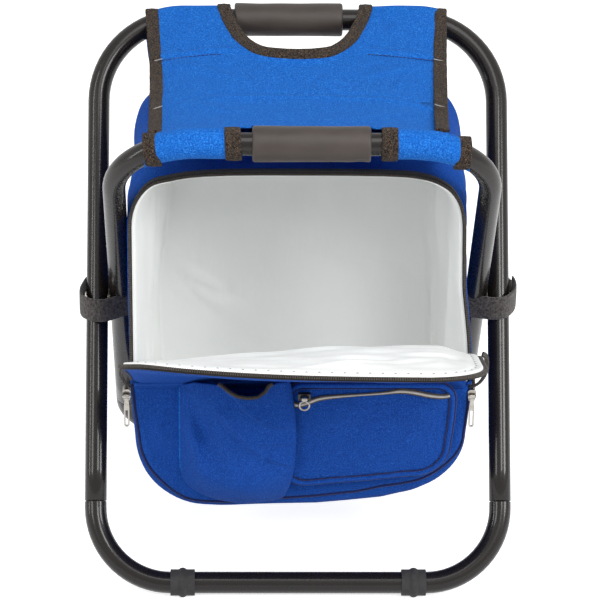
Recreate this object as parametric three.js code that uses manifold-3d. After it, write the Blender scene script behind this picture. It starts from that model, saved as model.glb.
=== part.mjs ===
// Folding stool made of two crossed tube loops, with a cloth seat and an insulated bag between the loops.
// Millimetres, Z up, the sitter's left and right along X, the bag opens towards -Y.
import * as THREE from "three";
import { mergeVertices, toCreasedNormals } from "three/addons/utils/BufferGeometryUtils.js";
import Module from "manifold-3d";

const wasm = await Module();
wasm.setup();
const { Manifold } = wasm;

// Tube frame
const tubeRadius = 9;
const tubeWall = 1.2;
const loopClearance = 1.3;
const bagSideGap = 1.7;
const barOverhang = 50;
const barDistance = 236.4;
const leanDegrees = 33.75;
const outerTopBend = 57;
const outerBottomBend = 62;
const innerTopBend = 52;
const innerBottomBend = 58;
const socketRise = 5;
const spigotLength = 22;
const spigotWall = 1.1;
const neckLength = 3;
const fitGap = 0.3;
const tubeSides = 7;
const bendSteps = 5;
const creaseDegrees = 35;

// Pivots
const rivetRadius = 2.5;
const rivetHeadRadius = 5.2;
const rivetHeadHeight = 1.6;
const washerRadius = 7.5;

// Foam grips
const gripRadius = 14;
const gripEdge = 1.2;
const rearGripGap = 1;
const frontGripGap = 5.1;
const rearGripShift = -8;
const frontGripShift = 5.7;

// Ribbed feet
const footLength = 20;
const footRibs = 3;
const ribPitch = 6.2;
const ribCrest = 3.4;
const ribRadius = 12.3;
const valleyRadius = 10.9;
const footFlatDrop = 11.2;

// Seat cloth
const clothThickness = 1.6;
const seatWidth = 252;
const seatSag = 16;
const seatWaist = 6;
const bindingWidth = 10.5;
const bindingThickness = 2.8;
const cutoutWidth = 109;
const cutoutFloorWidth = 66;
const cutoutDepth = 73;
const cutoutCorner = 22;
const cornerShare = 0.5;
const notchDepth = 15.5;
const frontClothShift = 2.3;
const sleeveSlack = 1;
const frontSleeveDrop = 5;
const spanSteps = 16;

// Bag
const bagWidth = 274;
const rimInset = 1.5;
const waistInset = 4.2;
const bagTop = 152;
const bagBottom = -144;
const bagTopCorner = 50;
const bagBottomCorner = 55;
const rimY = -80;
const bagRearY = 78;
const bagRearEdge = 5;
const bagRearRun = 16;
const bagWall = 7;
const linerThickness = 1;
const hingeZ = -32;
const lowerPanelThickness = 10.7;
const panelEdge = 2.5;
const edgeShare = 0.8;
const cornerSteps = 5;

// Zip round the opening
const tapeThickness = 1.6;
const tapeDepth = 6.7;
const tapeInset = 1;
const teethWidth = 2.4;
const teethDepth = 1.9;

// Front flap
const flapOpenDegrees = 60.3;
const flapThickness = 8;
const flapTapeStart = 14;
const flapLiningInset = 12;
const flapLiningBulge = 11;
const flapCrestRise = 9;
const humpPower = 0.65;
const liningLeanShares = [-0.8, 0];
const liningColumnShares = [-1, -0.85, -0.45, 0, 0.45, 0.85, 1];
const liningRowShares = [0, 0.1, 0.25, 0.42, 0.6, 0.8, 0.93, 1];

// Pockets
const bottleSideGap = 36.5;
const bottleRight = -13;
const bottleDepth = 28;
const bottleTop = -39;
const bottleBottom = -141;
const bottleRounding = 26;
const mouthRise = 11;
const bowPower = 0.75;
const bottleFootShares = [0, 0.25, 0.5, 0.75, 1];
const footNarrowShare = 0.7;
const footFlatShare = 0.1;
const pocketCloth = 1.6;
const trimHeight = 5;
const trimThickness = 2.8;
const pocketLeft = -11;
const pocketSideGap = 12.5;
const pocketTop = -34;
const pocketRise = 5.8;
const pocketBottom = -116;
const pocketDepth = 15;
const pocketCorner = 16;
const pocketShoulder = 4;
const pocketCrown = 1.5;
const pipingRadius = 1.5;
const beadSides = 6;
const zipStripHeight = 12;
const zipStripThickness = 1.2;
const zipStripMargin = 3.2;
const zipStripEnd = 8.5;
const reflectorMargin = 1;
const reflectorHeight = 5;
const reflectorThickness = 0.6;
const chainRadius = 1.1;

// Zip sliders and pulls
const sliderWidth = 6.6;
const sliderHeight = 10;
const sliderDepth = 9;
const sliderOutset = 0.9;
const zipFlare = 4;
const sliderZ = -43;
const bailWire = 0.8;
const pullLength = 28;
const pullWidth = 5;
const pullThickness = 1.5;
const sliderPlate = 1.5;
const plateShare = 0.7;
const wedgeShare = 0.35;
const neckShare = 0.6;
const pullShoulderShare = 0.35;
const slotShare = 0.45;
const slotTopShare = 0.45;
const ringPullRadius = 4.2;
const ringPullWire = 0.8;

// Side straps
const strapWidth = 21;
const strapThickness = 1.8;
const strapReach = 22;
const strapBendShare = 0.45;

// The frame is as wide as its bag and its seat need, and the grips fill their gaps in the cloth
const loopRoom = tubeRadius * 4 + loopClearance;
const outerWidth = Math.max(bagWidth + 2 * (bagSideGap + loopRoom), seatWidth + 2 * barOverhang);
const bagRimWidth = bagWidth - 2 * rimInset;
const bagWaistWidth = bagWidth - 2 * waistInset;
const bottleLeft = bottleSideGap - bagRimWidth / 2;
const pocketRight = bagRimWidth / 2 - pocketSideGap;
const gripLength = cutoutWidth - 2 * (Math.abs(rearGripShift) + rearGripGap);
const notchWidth = gripLength + 2 * (Math.abs(frontGripShift - frontClothShift) + frontGripGap);
const sliderSpread = bagRimWidth + 2 * (zipFlare + sliderOutset);
const quarterTurn = Math.PI / 2;
const creaseAngle = THREE.MathUtils.degToRad(creaseDegrees);

const finish = {
  tube: { color: 0x2b2725, roughness: 0.25, metalness: 0.4 },
  steel: { color: 0xb9bbbd, roughness: 0.3, metalness: 0.9 },
  nylon: { color: 0x1d1d1f, roughness: 0.6, metalness: 0 },
  foam: { color: 0x4f4641, roughness: 0.9, metalness: 0 },
  rubber: { color: 0x2a2a2a, roughness: 0.85, metalness: 0 },
  cloth: { color: 0x1f5fc0, roughness: 0.9, metalness: 0 },
  bag: { color: 0x1b4fa8, roughness: 0.9, metalness: 0 },
  binding: { color: 0x3a332e, roughness: 0.95, metalness: 0 },
  navy: { color: 0x0d1a3c, roughness: 0.8, metalness: 0 },
  liner: { color: 0xe4e8e6, roughness: 0.4, metalness: 0 },
  zip: { color: 0x17171a, roughness: 0.7, metalness: 0 },
  reflector: { color: 0x8c8f93, roughness: 0.35, metalness: 0.2 },
};

const stool = new THREE.Group();
stool.name = "folding_cooler_stool";
const outerFrame = new THREE.Group();
const innerFrame = new THREE.Group();
const flap = new THREE.Group();
outerFrame.name = "outer_frame";
innerFrame.name = "inner_frame";
flap.name = "flap";
stool.add(outerFrame, innerFrame);
outerFrame.add(flap);

function signedVolume(geometry) {
  const flat = geometry.index ? geometry.toNonIndexed() : geometry;
  const corners = flat.getAttribute("position");
  const [a, b, c] = [new THREE.Vector3(), new THREE.Vector3(), new THREE.Vector3()];
  let sum = 0;
  for (let i = 0; i < corners.count; i += 3) {
    a.fromBufferAttribute(corners, i);
    b.fromBufferAttribute(corners, i + 1);
    c.fromBufferAttribute(corners, i + 2);
    sum += a.dot(b.cross(c));
  }
  return sum;
}

function facingOut(geometry) {
  if (signedVolume(geometry) >= 0) return geometry;
  const flipped = mergeVertices(geometry);
  const order = flipped.index.array;
  for (let i = 0; i < order.length; i += 3) {
    [order[i], order[i + 1]] = [order[i + 1], order[i]];
  }
  return flipped;
}

function piece(parent, name, geometry, look) {
  const bare = geometry.clone();
  bare.deleteAttribute("normal");
  bare.deleteAttribute("uv");
  const closed = facingOut(mergeVertices(bare));
  const creased = toCreasedNormals(closed, creaseAngle);
  const mesh = new THREE.Mesh(creased, new THREE.MeshStandardMaterial(finish[look]));
  mesh.name = name;
  parent.add(mesh);
  return mesh;
}

// Boolean work
function solid(geometry) {
  const bare = geometry.clone();
  bare.deleteAttribute("normal");
  bare.deleteAttribute("uv");
  const welded = facingOut(mergeVertices(bare));
  const body = new wasm.Mesh({
    numProp: 3,
    vertProperties: Float32Array.from(welded.getAttribute("position").array),
    triVerts: Uint32Array.from(welded.index.array),
  });
  return new Manifold(body);
}

function geometryOf(body) {
  const { vertProperties, triVerts } = body.getMesh();
  const geometry = new THREE.BufferGeometry();
  geometry.setAttribute("position", new THREE.BufferAttribute(Float32Array.from(vertProperties), 3));
  geometry.setIndex(new THREE.BufferAttribute(Uint32Array.from(triVerts), 1));
  return geometry;
}

function placed(geometry, matrix) {
  return geometry.clone().applyMatrix4(matrix);
}

const along = (x, y, z) => new THREE.Matrix4().makeTranslation(x, y, z);
const turnX = (degrees) => new THREE.Matrix4().makeRotationX(THREE.MathUtils.degToRad(degrees));

// A rod standing along X between two places
function rodAlongX(radius, fromX, toX, y, z, sides) {
  const rod = new THREE.CylinderGeometry(radius, radius, toX - fromX, sides);
  rod.rotateZ(Math.PI / 2);
  rod.translate((fromX + toX) / 2, y, z);
  return rod;
}

// A profile of [radius, x] pairs turned round the X axis
function turnedAlongX(profile, sides) {
  const points = profile.map(([radius, x]) => new THREE.Vector2(radius, x));
  points.push(points[0].clone());
  const body = new THREE.LatheGeometry(points, sides);
  body.rotateZ(-Math.PI / 2);
  return body;
}

// Closed skin over matching rings of points; the section lists the same ring in the plane for its end caps
function skin(rings, section, looped = false) {
  const ringSize = rings[0].length;
  const corners = rings.flat().flatMap((point) => [point.x, point.y, point.z]);
  const faces = [];
  const bands = looped ? rings.length : rings.length - 1;
  for (let i = 0; i < bands; i += 1) {
    const here = i * ringSize;
    const next = ((i + 1) % rings.length) * ringSize;
    for (let j = 0; j < ringSize; j += 1) {
      const k = (j + 1) % ringSize;
      faces.push(here + j, here + k, next + k, here + j, next + k, next + j);
    }
  }
  if (!looped) {
    const last = (rings.length - 1) * ringSize;
    const outline = section.map(([x, y]) => new THREE.Vector2(x, y));
    const forward = !THREE.ShapeUtils.isClockWise(outline);
    for (const [a, b, c] of THREE.ShapeUtils.triangulateShape(outline, [])) {
      const turn = forward ? [c, b, a] : [a, b, c];
      faces.push(turn[0], turn[1], turn[2]);
      faces.push(last + turn[2], last + turn[1], last + turn[0]);
    }
  }
  const geometry = new THREE.BufferGeometry();
  geometry.setAttribute("position", new THREE.Float32BufferAttribute(corners, 3));
  geometry.setIndex(faces);
  return geometry;
}

// Closed sheet between an upper and a lower grid of points that have the same rows and columns
function sheetBetween(upper, lower) {
  const rows = upper.length;
  const columns = upper[0].length;
  const corners = [...upper.flat(), ...lower.flat()].flatMap((point) => [point.x, point.y, point.z]);
  const top = (i, j) => i * columns + j;
  const under = (i, j) => rows * columns + top(i, j);
  const faces = [];
  const quad = (a, b, c, d) => faces.push(a, b, c, a, c, d);
  for (let i = 0; i + 1 < rows; i += 1) {
    for (let j = 0; j + 1 < columns; j += 1) {
      quad(top(i, j), top(i, j + 1), top(i + 1, j + 1), top(i + 1, j));
      quad(under(i, j), under(i + 1, j), under(i + 1, j + 1), under(i, j + 1));
    }
  }
  for (let j = 0; j + 1 < columns; j += 1) {
    quad(top(0, j + 1), top(0, j), under(0, j), under(0, j + 1));
    quad(top(rows - 1, j), top(rows - 1, j + 1), under(rows - 1, j + 1), under(rows - 1, j));
  }
  for (let i = 0; i + 1 < rows; i += 1) {
    quad(top(i, 0), top(i + 1, 0), under(i + 1, 0), under(i, 0));
    quad(top(i + 1, columns - 1), top(i, columns - 1), under(i, columns - 1), under(i + 1, columns - 1));
  }
  const geometry = new THREE.BufferGeometry();
  geometry.setAttribute("position", new THREE.Float32BufferAttribute(corners, 3));
  geometry.setIndex(faces);
  return geometry;
}

// Tube loops: each is an upper U plugged on a lower U
class Route extends THREE.Curve {
  constructor(points, directions) {
    super();
    this.points = points;
    this.directions = directions;
  }
  station(share) {
    return Math.round(share * (this.points.length - 1));
  }
  getPoint(share) {
    return this.points[this.station(share)].clone();
  }
  getPointAt(share) {
    return this.getPoint(share);
  }
  getTangentAt(share) {
    return this.directions[this.station(share)].clone();
  }
}

// A U in the XZ plane from one leg end, round the bar, to the other leg end
function uRoute(halfWidth, legEnd, barAt, bend) {
  const way = Math.sign(barAt - legEnd);
  const points = [new THREE.Vector3(-halfWidth, 0, legEnd)];
  const directions = [new THREE.Vector3(0, 0, way)];
  for (const side of [-1, 1]) {
    for (let i = 0; i <= bendSteps; i += 1) {
      const swing = quarterTurn * (side < 0 ? i / bendSteps : 1 - i / bendSteps);
      const centreX = side * (halfWidth - bend);
      const x = centreX + side * bend * Math.cos(swing);
      points.push(new THREE.Vector3(x, 0, barAt + way * bend * (Math.sin(swing) - 1)));
      directions.push(new THREE.Vector3(Math.sin(swing), 0, -side * way * Math.cos(swing)));
    }
  }
  points.push(new THREE.Vector3(halfWidth, 0, legEnd));
  directions.push(new THREE.Vector3(0, 0, -way));
  return new Route(points, directions);
}

function rodAlong(route, radius) {
  const round = new THREE.Shape();
  round.absarc(0, 0, radius, 0, Math.PI * 2);
  return new THREE.ExtrudeGeometry(round, {
    steps: route.points.length - 1,
    curveSegments: tubeSides,
    bevelEnabled: false,
    extrudePath: route,
  });
}

function legRod(radius, x, fromZ, toZ) {
  const rod = new THREE.CylinderGeometry(radius, radius, toZ - fromZ, tubeSides * 2);
  rod.rotateX(Math.PI / 2);
  rod.translate(x, 0, (fromZ + toZ) / 2);
  return rod;
}

function tubeLoop(parent, name, halfWidth, topBend, bottomBend, pinHole, lean) {
  const bore = tubeRadius - tubeWall;
  const spigotRadius = bore - fitGap;
  const socketZ = -barDistance + bottomBend + socketRise;
  const cutPast = tubeRadius;
  const holes = rodAlongX(pinHole, -halfWidth - cutPast * 2, halfWidth + cutPast * 2, 0, 0, tubeSides * 2);
  const upper = solid(rodAlong(uRoute(halfWidth, socketZ, barDistance, topBend), tubeRadius))
    .subtract(solid(rodAlong(uRoute(halfWidth, socketZ - cutPast, barDistance, topBend), bore)))
    .subtract(solid(holes));
  const lowerEnd = socketZ - fitGap;
  let lower = solid(rodAlong(uRoute(halfWidth, lowerEnd, -barDistance, bottomBend), tubeRadius));
  for (const side of [-1, 1]) {
    const x = side * halfWidth;
    lower = lower.add(solid(legRod(spigotRadius, x, lowerEnd - neckLength, lowerEnd + spigotLength)));
  }
  const boreRoute = uRoute(halfWidth, lowerEnd - neckLength, -barDistance, bottomBend);
  lower = lower.subtract(solid(rodAlong(boreRoute, bore)));
  for (const side of [-1, 1]) {
    const x = side * halfWidth;
    const neckRadius = spigotRadius - spigotWall;
    const neck = legRod(neckRadius, x, lowerEnd - neckLength * 2, lowerEnd + spigotLength * 2);
    lower = lower.subtract(solid(neck));
  }
  const leaning = turnX(lean);
  piece(parent, name + "_upper", placed(geometryOf(upper), leaning), "tube");
  piece(parent, name + "_lower", placed(geometryOf(lower), leaning), "tube");
}

const outerHalf = outerWidth / 2 - tubeRadius;
const innerHalf = outerHalf - tubeRadius * 2 - loopClearance;
const pinHole = rivetRadius + fitGap;
tubeLoop(outerFrame, "outer_loop", outerHalf, outerTopBend, outerBottomBend, pinHole, -leanDegrees);
tubeLoop(innerFrame, "inner_loop", innerHalf, innerTopBend, innerBottomBend, pinHole, leanDegrees);

const lean = THREE.MathUtils.degToRad(leanDegrees);
const barY = barDistance * Math.sin(lean);
const barZ = barDistance * Math.cos(lean);
const floorZ = -barZ - footFlatDrop;

// Rivets and the washers between the loops
const rivetInner = innerHalf - tubeRadius - fitGap;
const rivetOuter = outerHalf + tubeRadius + fitGap;
for (const [side, label] of [[-1, "left"], [1, "right"]]) {
  const rivet = turnedAlongX(
    [
      [0, rivetInner - rivetHeadHeight],
      [rivetHeadRadius * Math.SQRT1_2, rivetInner - rivetHeadHeight],
      [rivetHeadRadius, rivetInner - rivetHeadHeight / 2],
      [rivetHeadRadius, rivetInner],
      [rivetRadius, rivetInner],
      [rivetRadius, rivetOuter],
      [rivetHeadRadius, rivetOuter],
      [rivetHeadRadius, rivetOuter + rivetHeadHeight / 2],
      [rivetHeadRadius * Math.SQRT1_2, rivetOuter + rivetHeadHeight],
      [0, rivetOuter + rivetHeadHeight],
    ],
    tubeSides * 2,
  );
  const washer = turnedAlongX(
    [
      [pinHole, outerHalf - tubeRadius - fitGap],
      [washerRadius, outerHalf - tubeRadius - fitGap],
      [washerRadius, innerHalf + tubeRadius + fitGap],
      [pinHole, innerHalf + tubeRadius + fitGap],
    ],
    tubeSides * 2,
  );
  const kinds = [[rivet, "pivot_rivet_", "steel"], [washer, "pivot_washer_", "nylon"]];
  for (const [geometry, kind, look] of kinds) {
    if (side < 0) geometry.rotateZ(Math.PI);
    piece(outerFrame, kind + label, geometry, look);
  }
}

// Foam grips on the top bars
function grip(parent, name, shift, y) {
  const bore = tubeRadius + fitGap;
  const half = gripLength / 2;
  const foam = turnedAlongX(
    [
      [bore, -half],
      [gripRadius - gripEdge, -half],
      [gripRadius, -half + gripEdge],
      [gripRadius, half - gripEdge],
      [gripRadius - gripEdge, half],
      [bore, half],
    ],
    tubeSides * 3,
  );
  foam.translate(shift, y, barZ);
  piece(parent, name, foam, "foam");
}
grip(outerFrame, "rear_grip", rearGripShift, barY);
grip(innerFrame, "front_grip", frontGripShift, -barY);

// Ribbed rubber feet, cut flat where they stand
function foot(parent, name, x, y) {
  const bore = tubeRadius + fitGap;
  const half = footLength / 2;
  const profile = [[bore, -half], [valleyRadius, -half]];
  for (let i = 0; i < footRibs; i += 1) {
    const centre = (i - (footRibs - 1) / 2) * ribPitch;
    const slope = (ribPitch - ribCrest) / 3;
    profile.push([valleyRadius, centre - ribCrest / 2 - slope]);
    profile.push([ribRadius, centre - ribCrest / 2]);
    profile.push([ribRadius, centre + ribCrest / 2]);
    profile.push([valleyRadius, centre + ribCrest / 2 + slope]);
  }
  profile.push([valleyRadius, half], [bore, half]);
  const sleeve = turnedAlongX(profile, tubeSides * 2);
  const ground = new THREE.BoxGeometry(footLength * 2, ribRadius * 4, ribRadius);
  ground.translate(0, 0, -footFlatDrop - ribRadius / 2);
  const cut = geometryOf(solid(sleeve).subtract(solid(ground)));
  piece(parent, name, placed(cut, along(x, y, -barZ)), "rubber");
}
for (const [side, label] of [[-1, "left"], [1, "right"]]) {
  const outerX = outerHalf - outerBottomBend - footLength / 2;
  const innerX = innerHalf - innerBottomBend - footLength / 2;
  foot(outerFrame, "outer_foot_" + label, side * outerX, -barY);
  foot(innerFrame, "inner_foot_" + label, side * innerX, barY);
}

// Seat cloth: its profile runs from the top of the rear sleeve, down through the sag, to the front sleeve
const sleeveInner = tubeRadius + fitGap + sleeveSlack;
const sleeveOuter = sleeveInner + clothThickness;
const wrapRadius = sleeveOuter + fitGap + bindingThickness / 2;
const wrapAngle = Math.atan((2 * seatSag) / barY);
const wrapSteps = 2;

function seatProfile() {
  const half = [];
  for (let i = 0; i <= wrapSteps; i += 1) {
    const swing = (wrapAngle * i) / wrapSteps;
    half.push([barY - wrapRadius * Math.sin(swing), barZ + wrapRadius * Math.cos(swing)]);
  }
  const [edgeY, edgeZ] = half[wrapSteps];
  const drop = (Math.tan(wrapAngle) * edgeY) / 2;
  const steps = spanSteps / 2;
  for (let i = 1; i <= steps; i += 1) {
    const y = edgeY * (1 - i / steps);
    half.push([y, edgeZ - drop * (1 - (y / edgeY) ** 2)]);
  }
  const mirrored = half.slice(0, -1).reverse().map(([y, z]) => [-y, z]);
  return [...half, ...mirrored];
}

const seatLine = seatProfile();
const seatHalf = (y) => seatWidth / 2 - seatWaist * (1 - (y / barY) ** 2);
const clothShift = (y) => frontClothShift * Math.max(0, Math.min(1, (barY - y) / (barY * 2)));

function seatSlab(thickness, edgeFrom, edgeTo, columns) {
  const grids = [1, -1].map((face) =>
    seatLine.map(([y, z], i) => {
      const [beforeY, beforeZ] = seatLine[Math.max(0, i - 1)];
      const [afterY, afterZ] = seatLine[Math.min(seatLine.length - 1, i + 1)];
      const slope = new THREE.Vector2(afterY - beforeY, afterZ - beforeZ).normalize();
      const lift = (face * thickness) / 2;
      return Array.from({ length: columns + 1 }, (_, j) => {
        const x = edgeFrom(y) + ((edgeTo(y) - edgeFrom(y)) * j) / columns;
        return new THREE.Vector3(x + clothShift(y), y + slope.y * lift, z - slope.x * lift);
      });
    }),
  );
  return sheetBetween(grids[1], grids[0]);
}

// Plan outline of the rear hand cut-out, widened by a margin
function cutoutShape(margin) {
  const mouthY = barY + wrapRadius * 3;
  const floorY = barY - cutoutDepth - margin;
  const mouthHalf = cutoutWidth / 2 + margin;
  const floorHalf = cutoutFloorWidth / 2 + margin;
  const corner = cutoutCorner + margin;
  const shape = new THREE.Shape();
  shape.moveTo(-mouthHalf, mouthY);
  shape.lineTo(-mouthHalf, barY - tubeRadius);
  shape.quadraticCurveTo(-floorHalf - corner / 2, floorY, -floorHalf + corner / 2, floorY);
  shape.lineTo(floorHalf - corner / 2, floorY);
  shape.quadraticCurveTo(floorHalf + corner / 2, floorY, mouthHalf, barY - tubeRadius);
  shape.lineTo(mouthHalf, mouthY);
  shape.closePath();
  return shape;
}

function upright(shape, steps) {
  const height = barZ;
  const options = { depth: height, bevelEnabled: false, curveSegments: steps };
  const prism = new THREE.ExtrudeGeometry(shape, options);
  prism.translate(0, 0, barZ - height / 2);
  return solid(prism);
}

function boxBetween(low, high) {
  const size = low.map((value, i) => high[i] - value);
  const box = new THREE.BoxGeometry(...size);
  box.translate(...low.map((value, i) => value + size[i] / 2));
  return solid(box);
}

const innerEdge = (y) => seatHalf(y) - bindingWidth;
const notchHalf = notchWidth / 2;
const notch = boxBetween(
  [frontClothShift - notchHalf, -barY - wrapRadius * 3, 0],
  [frontClothShift + notchHalf, -barY + notchDepth, barZ * 2],
);
const panelColumns = 4;
const panelLeft = (y) => fitGap - innerEdge(y);
const panelRight = (y) => innerEdge(y) - fitGap;
const panel = solid(seatSlab(clothThickness, panelLeft, panelRight, panelColumns));
const cutoutEdge = bindingWidth + fitGap;
const seat = panel.subtract(upright(cutoutShape(cutoutEdge), cornerSteps)).subtract(notch);
piece(outerFrame, "seat_panel", geometryOf(seat), "cloth");

const bindingSheet = solid(seatSlab(bindingThickness, () => -cutoutWidth, () => cutoutWidth, 2));
const bindingOuter = upright(cutoutShape(bindingWidth), cornerSteps);
const bindingRing = bindingOuter.subtract(upright(cutoutShape(0), cornerSteps));
piece(outerFrame, "cutout_binding", geometryOf(bindingSheet.intersect(bindingRing)), "binding");
const leftBinding = seatSlab(bindingThickness, (y) => -seatHalf(y), (y) => -innerEdge(y), 1);
piece(outerFrame, "side_binding_left", leftBinding, "binding");
piece(outerFrame, "side_binding_right", seatSlab(bindingThickness, innerEdge, seatHalf, 1), "binding");

// Sleeves: cloth tubes that follow a bar into its bends, with a binding ring at each end
function barRing(bar, x, radius, drop) {
  const bendAt = bar.halfWidth - bar.bend;
  const turn = Math.asin(Math.max(0, Math.abs(x) - bendAt) / bar.bend) * Math.sign(x);
  const inward = new THREE.Vector3(0, -bar.y, -barZ).normalize();
  const centre = new THREE.Vector3(x, bar.y, barZ).addScaledVector(inward, bar.bend * (1 - Math.cos(turn)));
  const normal = new THREE.Vector3(1, 0, 0).cross(inward);
  return Array.from({ length: tubeSides * 2 }, (_, i) => {
    const swing = (Math.PI * i) / tubeSides;
    const height = (radius + drop / 2) * Math.sin(swing) - drop / 2;
    const spoke = new THREE.Vector3(0, radius * Math.cos(swing), height);
    return spoke.applyAxisAngle(normal, turn).add(centre);
  });
}

function barTube(bar, fromX, toX, thickness, drop) {
  const middle = (sleeveInner + sleeveOuter) / 2;
  const straight = bar.halfWidth - bar.bend;
  const body = ([low, high], radius) => {
    const turns = Array.from({ length: bendSteps }, (_, i) => Math.sin((quarterTurn * i) / bendSteps));
    const bends = [-1, 1].flatMap((side) => turns.map((turn) => side * (straight + bar.bend * turn)));
    const inside = bends.filter((x) => x > low && x < high).sort((a, b) => a - b);
    const rings = [low, ...inside, high].map((x) => barRing(bar, x, radius, drop));
    return solid(skin(rings, rings[0].map((point) => [point.y, point.z])));
  };
  const bore = Math.max(middle - thickness / 2, tubeRadius + fitGap);
  const overrun = clothThickness;
  const outside = body([fromX, toX], middle + thickness / 2);
  return geometryOf(outside.subtract(body([fromX - overrun, toX + overrun], bore)));
}

const ringThickness = clothThickness + 2 * fitGap;
function sleeve(parent, name, fromX, toX, bar, drop) {
  const outward = Math.abs(toX) > Math.abs(fromX);
  const [outerStart, innerStart] = outward ? [toX - bindingWidth, fromX] : [fromX, toX - bindingWidth];
  const clear = bindingWidth + fitGap;
  piece(parent, name, barTube(bar, fromX + clear, toX - clear, clothThickness, drop), "cloth");
  for (const [label, start] of [["_outer_edge", outerStart], ["_inner_edge", innerStart]]) {
    const ring = barTube(bar, start, start + bindingWidth, ringThickness, drop);
    piece(parent, name + label, ring, "binding");
  }
}
const rearBar = { y: barY, halfWidth: outerHalf, bend: outerTopBend };
const frontBar = { y: -barY, halfWidth: innerHalf, bend: innerTopBend };
const seatEdge = seatWidth / 2;
const [leftEnd, leftMouth] = [frontClothShift - seatEdge, frontClothShift - notchHalf];
const [rightMouth, rightEnd] = [frontClothShift + notchHalf, frontClothShift + seatEdge];
sleeve(outerFrame, "rear_sleeve_left", -seatEdge, -cutoutWidth / 2, rearBar, 0);
sleeve(outerFrame, "rear_sleeve_right", cutoutWidth / 2, seatEdge, rearBar, 0);
sleeve(innerFrame, "front_sleeve_left", leftEnd, leftMouth, frontBar, frontSleeveDrop);
sleeve(innerFrame, "front_sleeve_right", rightMouth, rightEnd, frontBar, frontSleeveDrop);

// Bag outline in the XZ plane, drawn in by an inset
function bagOutline(width, inset) {
  const half = width / 2 - inset;
  const points = [];
  const corners = [
    [1, -1, bagBottomCorner, bagBottom, -quarterTurn],
    [1, 1, bagTopCorner, bagTop, 0],
    [-1, 1, bagTopCorner, bagTop, quarterTurn],
    [-1, -1, bagBottomCorner, bagBottom, quarterTurn * 2],
  ];
  for (const [sideX, sideZ, corner, level, start] of corners) {
    const radius = corner - inset;
    for (let i = 0; i <= cornerSteps; i += 1) {
      const swing = start + (quarterTurn * i) / cornerSteps;
      const x = sideX * (half - radius) + radius * Math.cos(swing);
      points.push([x, level - sideZ * corner + radius * Math.sin(swing)]);
    }
  }
  return points;
}

const ringAt = (outline, y) => outline.map(([x, z]) => new THREE.Vector3(x, y, z));
const waistY = tubeRadius * 2;

// Solid body of the bag from past its rim to a rear face, pressed in at its sides where the tubes cross
function bagBody(inset, past, rearY) {
  const rings = [
    [rimY, bagRimWidth, 0],
    [(rimY - waistY) / 2, (bagRimWidth + bagWaistWidth) / 2, 0],
    [-waistY, bagWaistWidth, 0],
    [waistY, bagWaistWidth, 0],
    [bagRearY - bagRearRun, bagWidth, 0],
    [rearY - bagRearEdge, bagWidth, 0],
    [rearY, bagWidth, bagRearEdge * edgeShare],
  ];
  if (past > 0) rings.unshift([rimY - past, bagRimWidth, 0]);
  const skins = rings.map(([y, width, edge]) => ringAt(bagOutline(width, inset + edge), y));
  return solid(skin(skins, bagOutline(bagWidth, inset)));
}

const shell = bagBody(0, 0, bagRearY).subtract(bagBody(bagWall, bagWall, bagRearY - bagWall));
piece(outerFrame, "bag_shell", geometryOf(shell), "bag");
const linerInset = bagWall + fitGap;
const linerRear = bagRearY - linerInset;
const liner = bagBody(linerInset, 0, linerRear).subtract(
  bagBody(linerInset + linerThickness, bagWall, linerRear - linerThickness),
);
piece(outerFrame, "bag_liner", geometryOf(liner), "liner");

// Stops along an arch that leaves one side wall, rounds two corners and comes down the other side wall.
// Each stop holds its place and the direction towards the middle of the bag.
function archStops(startZ, level, corner) {
  const half = bagRimWidth / 2;
  const way = Math.sign(level - startZ);
  const stops = [[-half, startZ, 1, 0]];
  for (const side of [-1, 1]) {
    for (let i = 0; i <= cornerSteps; i += 1) {
      const swing = quarterTurn * (side < 0 ? i / cornerSteps : 1 - i / cornerSteps);
      const [across, up] = [side * Math.cos(swing), way * Math.sin(swing)];
      const x = side * (half - corner) + corner * across;
      stops.push([x, level - way * corner + corner * up, -across, -up]);
    }
  }
  stops.push([half, startZ, -1, 0]);
  return stops;
}

// A strip swept along the stops of an arch; its section is a list of [inset, y] pairs
function stripAlong(stops, section) {
  const rings = stops.map(([x, z, inX, inZ]) =>
    section.map(([inset, y]) => new THREE.Vector3(x + inX * inset, y, z + inZ * inset)),
  );
  return skin(rings, section);
}

// A slab whose outline is the arch closed by a straight line; its layers are [inset, y] pairs
function archSlab(startZ, level, corner, layers) {
  const stops = archStops(startZ, level, corner);
  const drawnIn = (inset) => stops.map(([x, z, inX, inZ]) => [x + inX * inset, z + inZ * inset]);
  const rings = layers.map(([inset, y]) => ringAt(drawnIn(inset), y));
  return skin(rings, drawnIn(layers[0][0]));
}

// A round bead as a section for a strip
function beadSection(radius, inset, y) {
  return Array.from({ length: beadSides }, (_, i) => {
    const swing = (Math.PI * 2 * i) / beadSides;
    return [inset + radius * Math.cos(swing), y + radius * Math.sin(swing)];
  });
}

// The zip: one half on the rim, the other on the flap, meeting tooth to tooth when the flap is shut
const tapeMiddle = tapeInset + tapeThickness / 2;
function tapeSection(edgeY, teethY) {
  const way = Math.sign(teethY - edgeY);
  const [near, far] = [tapeInset, tapeInset + tapeThickness];
  const [wideNear, wideFar] = [tapeMiddle - teethWidth / 2, tapeMiddle + teethWidth / 2];
  const neckY = teethY - way * teethDepth;
  return [
    [near, edgeY],
    [near, neckY],
    [wideNear, neckY],
    [wideNear, teethY],
    [wideFar, teethY],
    [wideFar, neckY],
    [far, neckY],
    [far, edgeY],
  ];
}
const rimTapeBack = rimY - fitGap;
const rimTapeFront = rimTapeBack - tapeDepth;
const flapTapeBack = rimTapeFront - fitGap;
const flapFront = flapTapeBack - tapeDepth;
const sliderTop = sliderZ + sliderHeight / 2;

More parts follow.
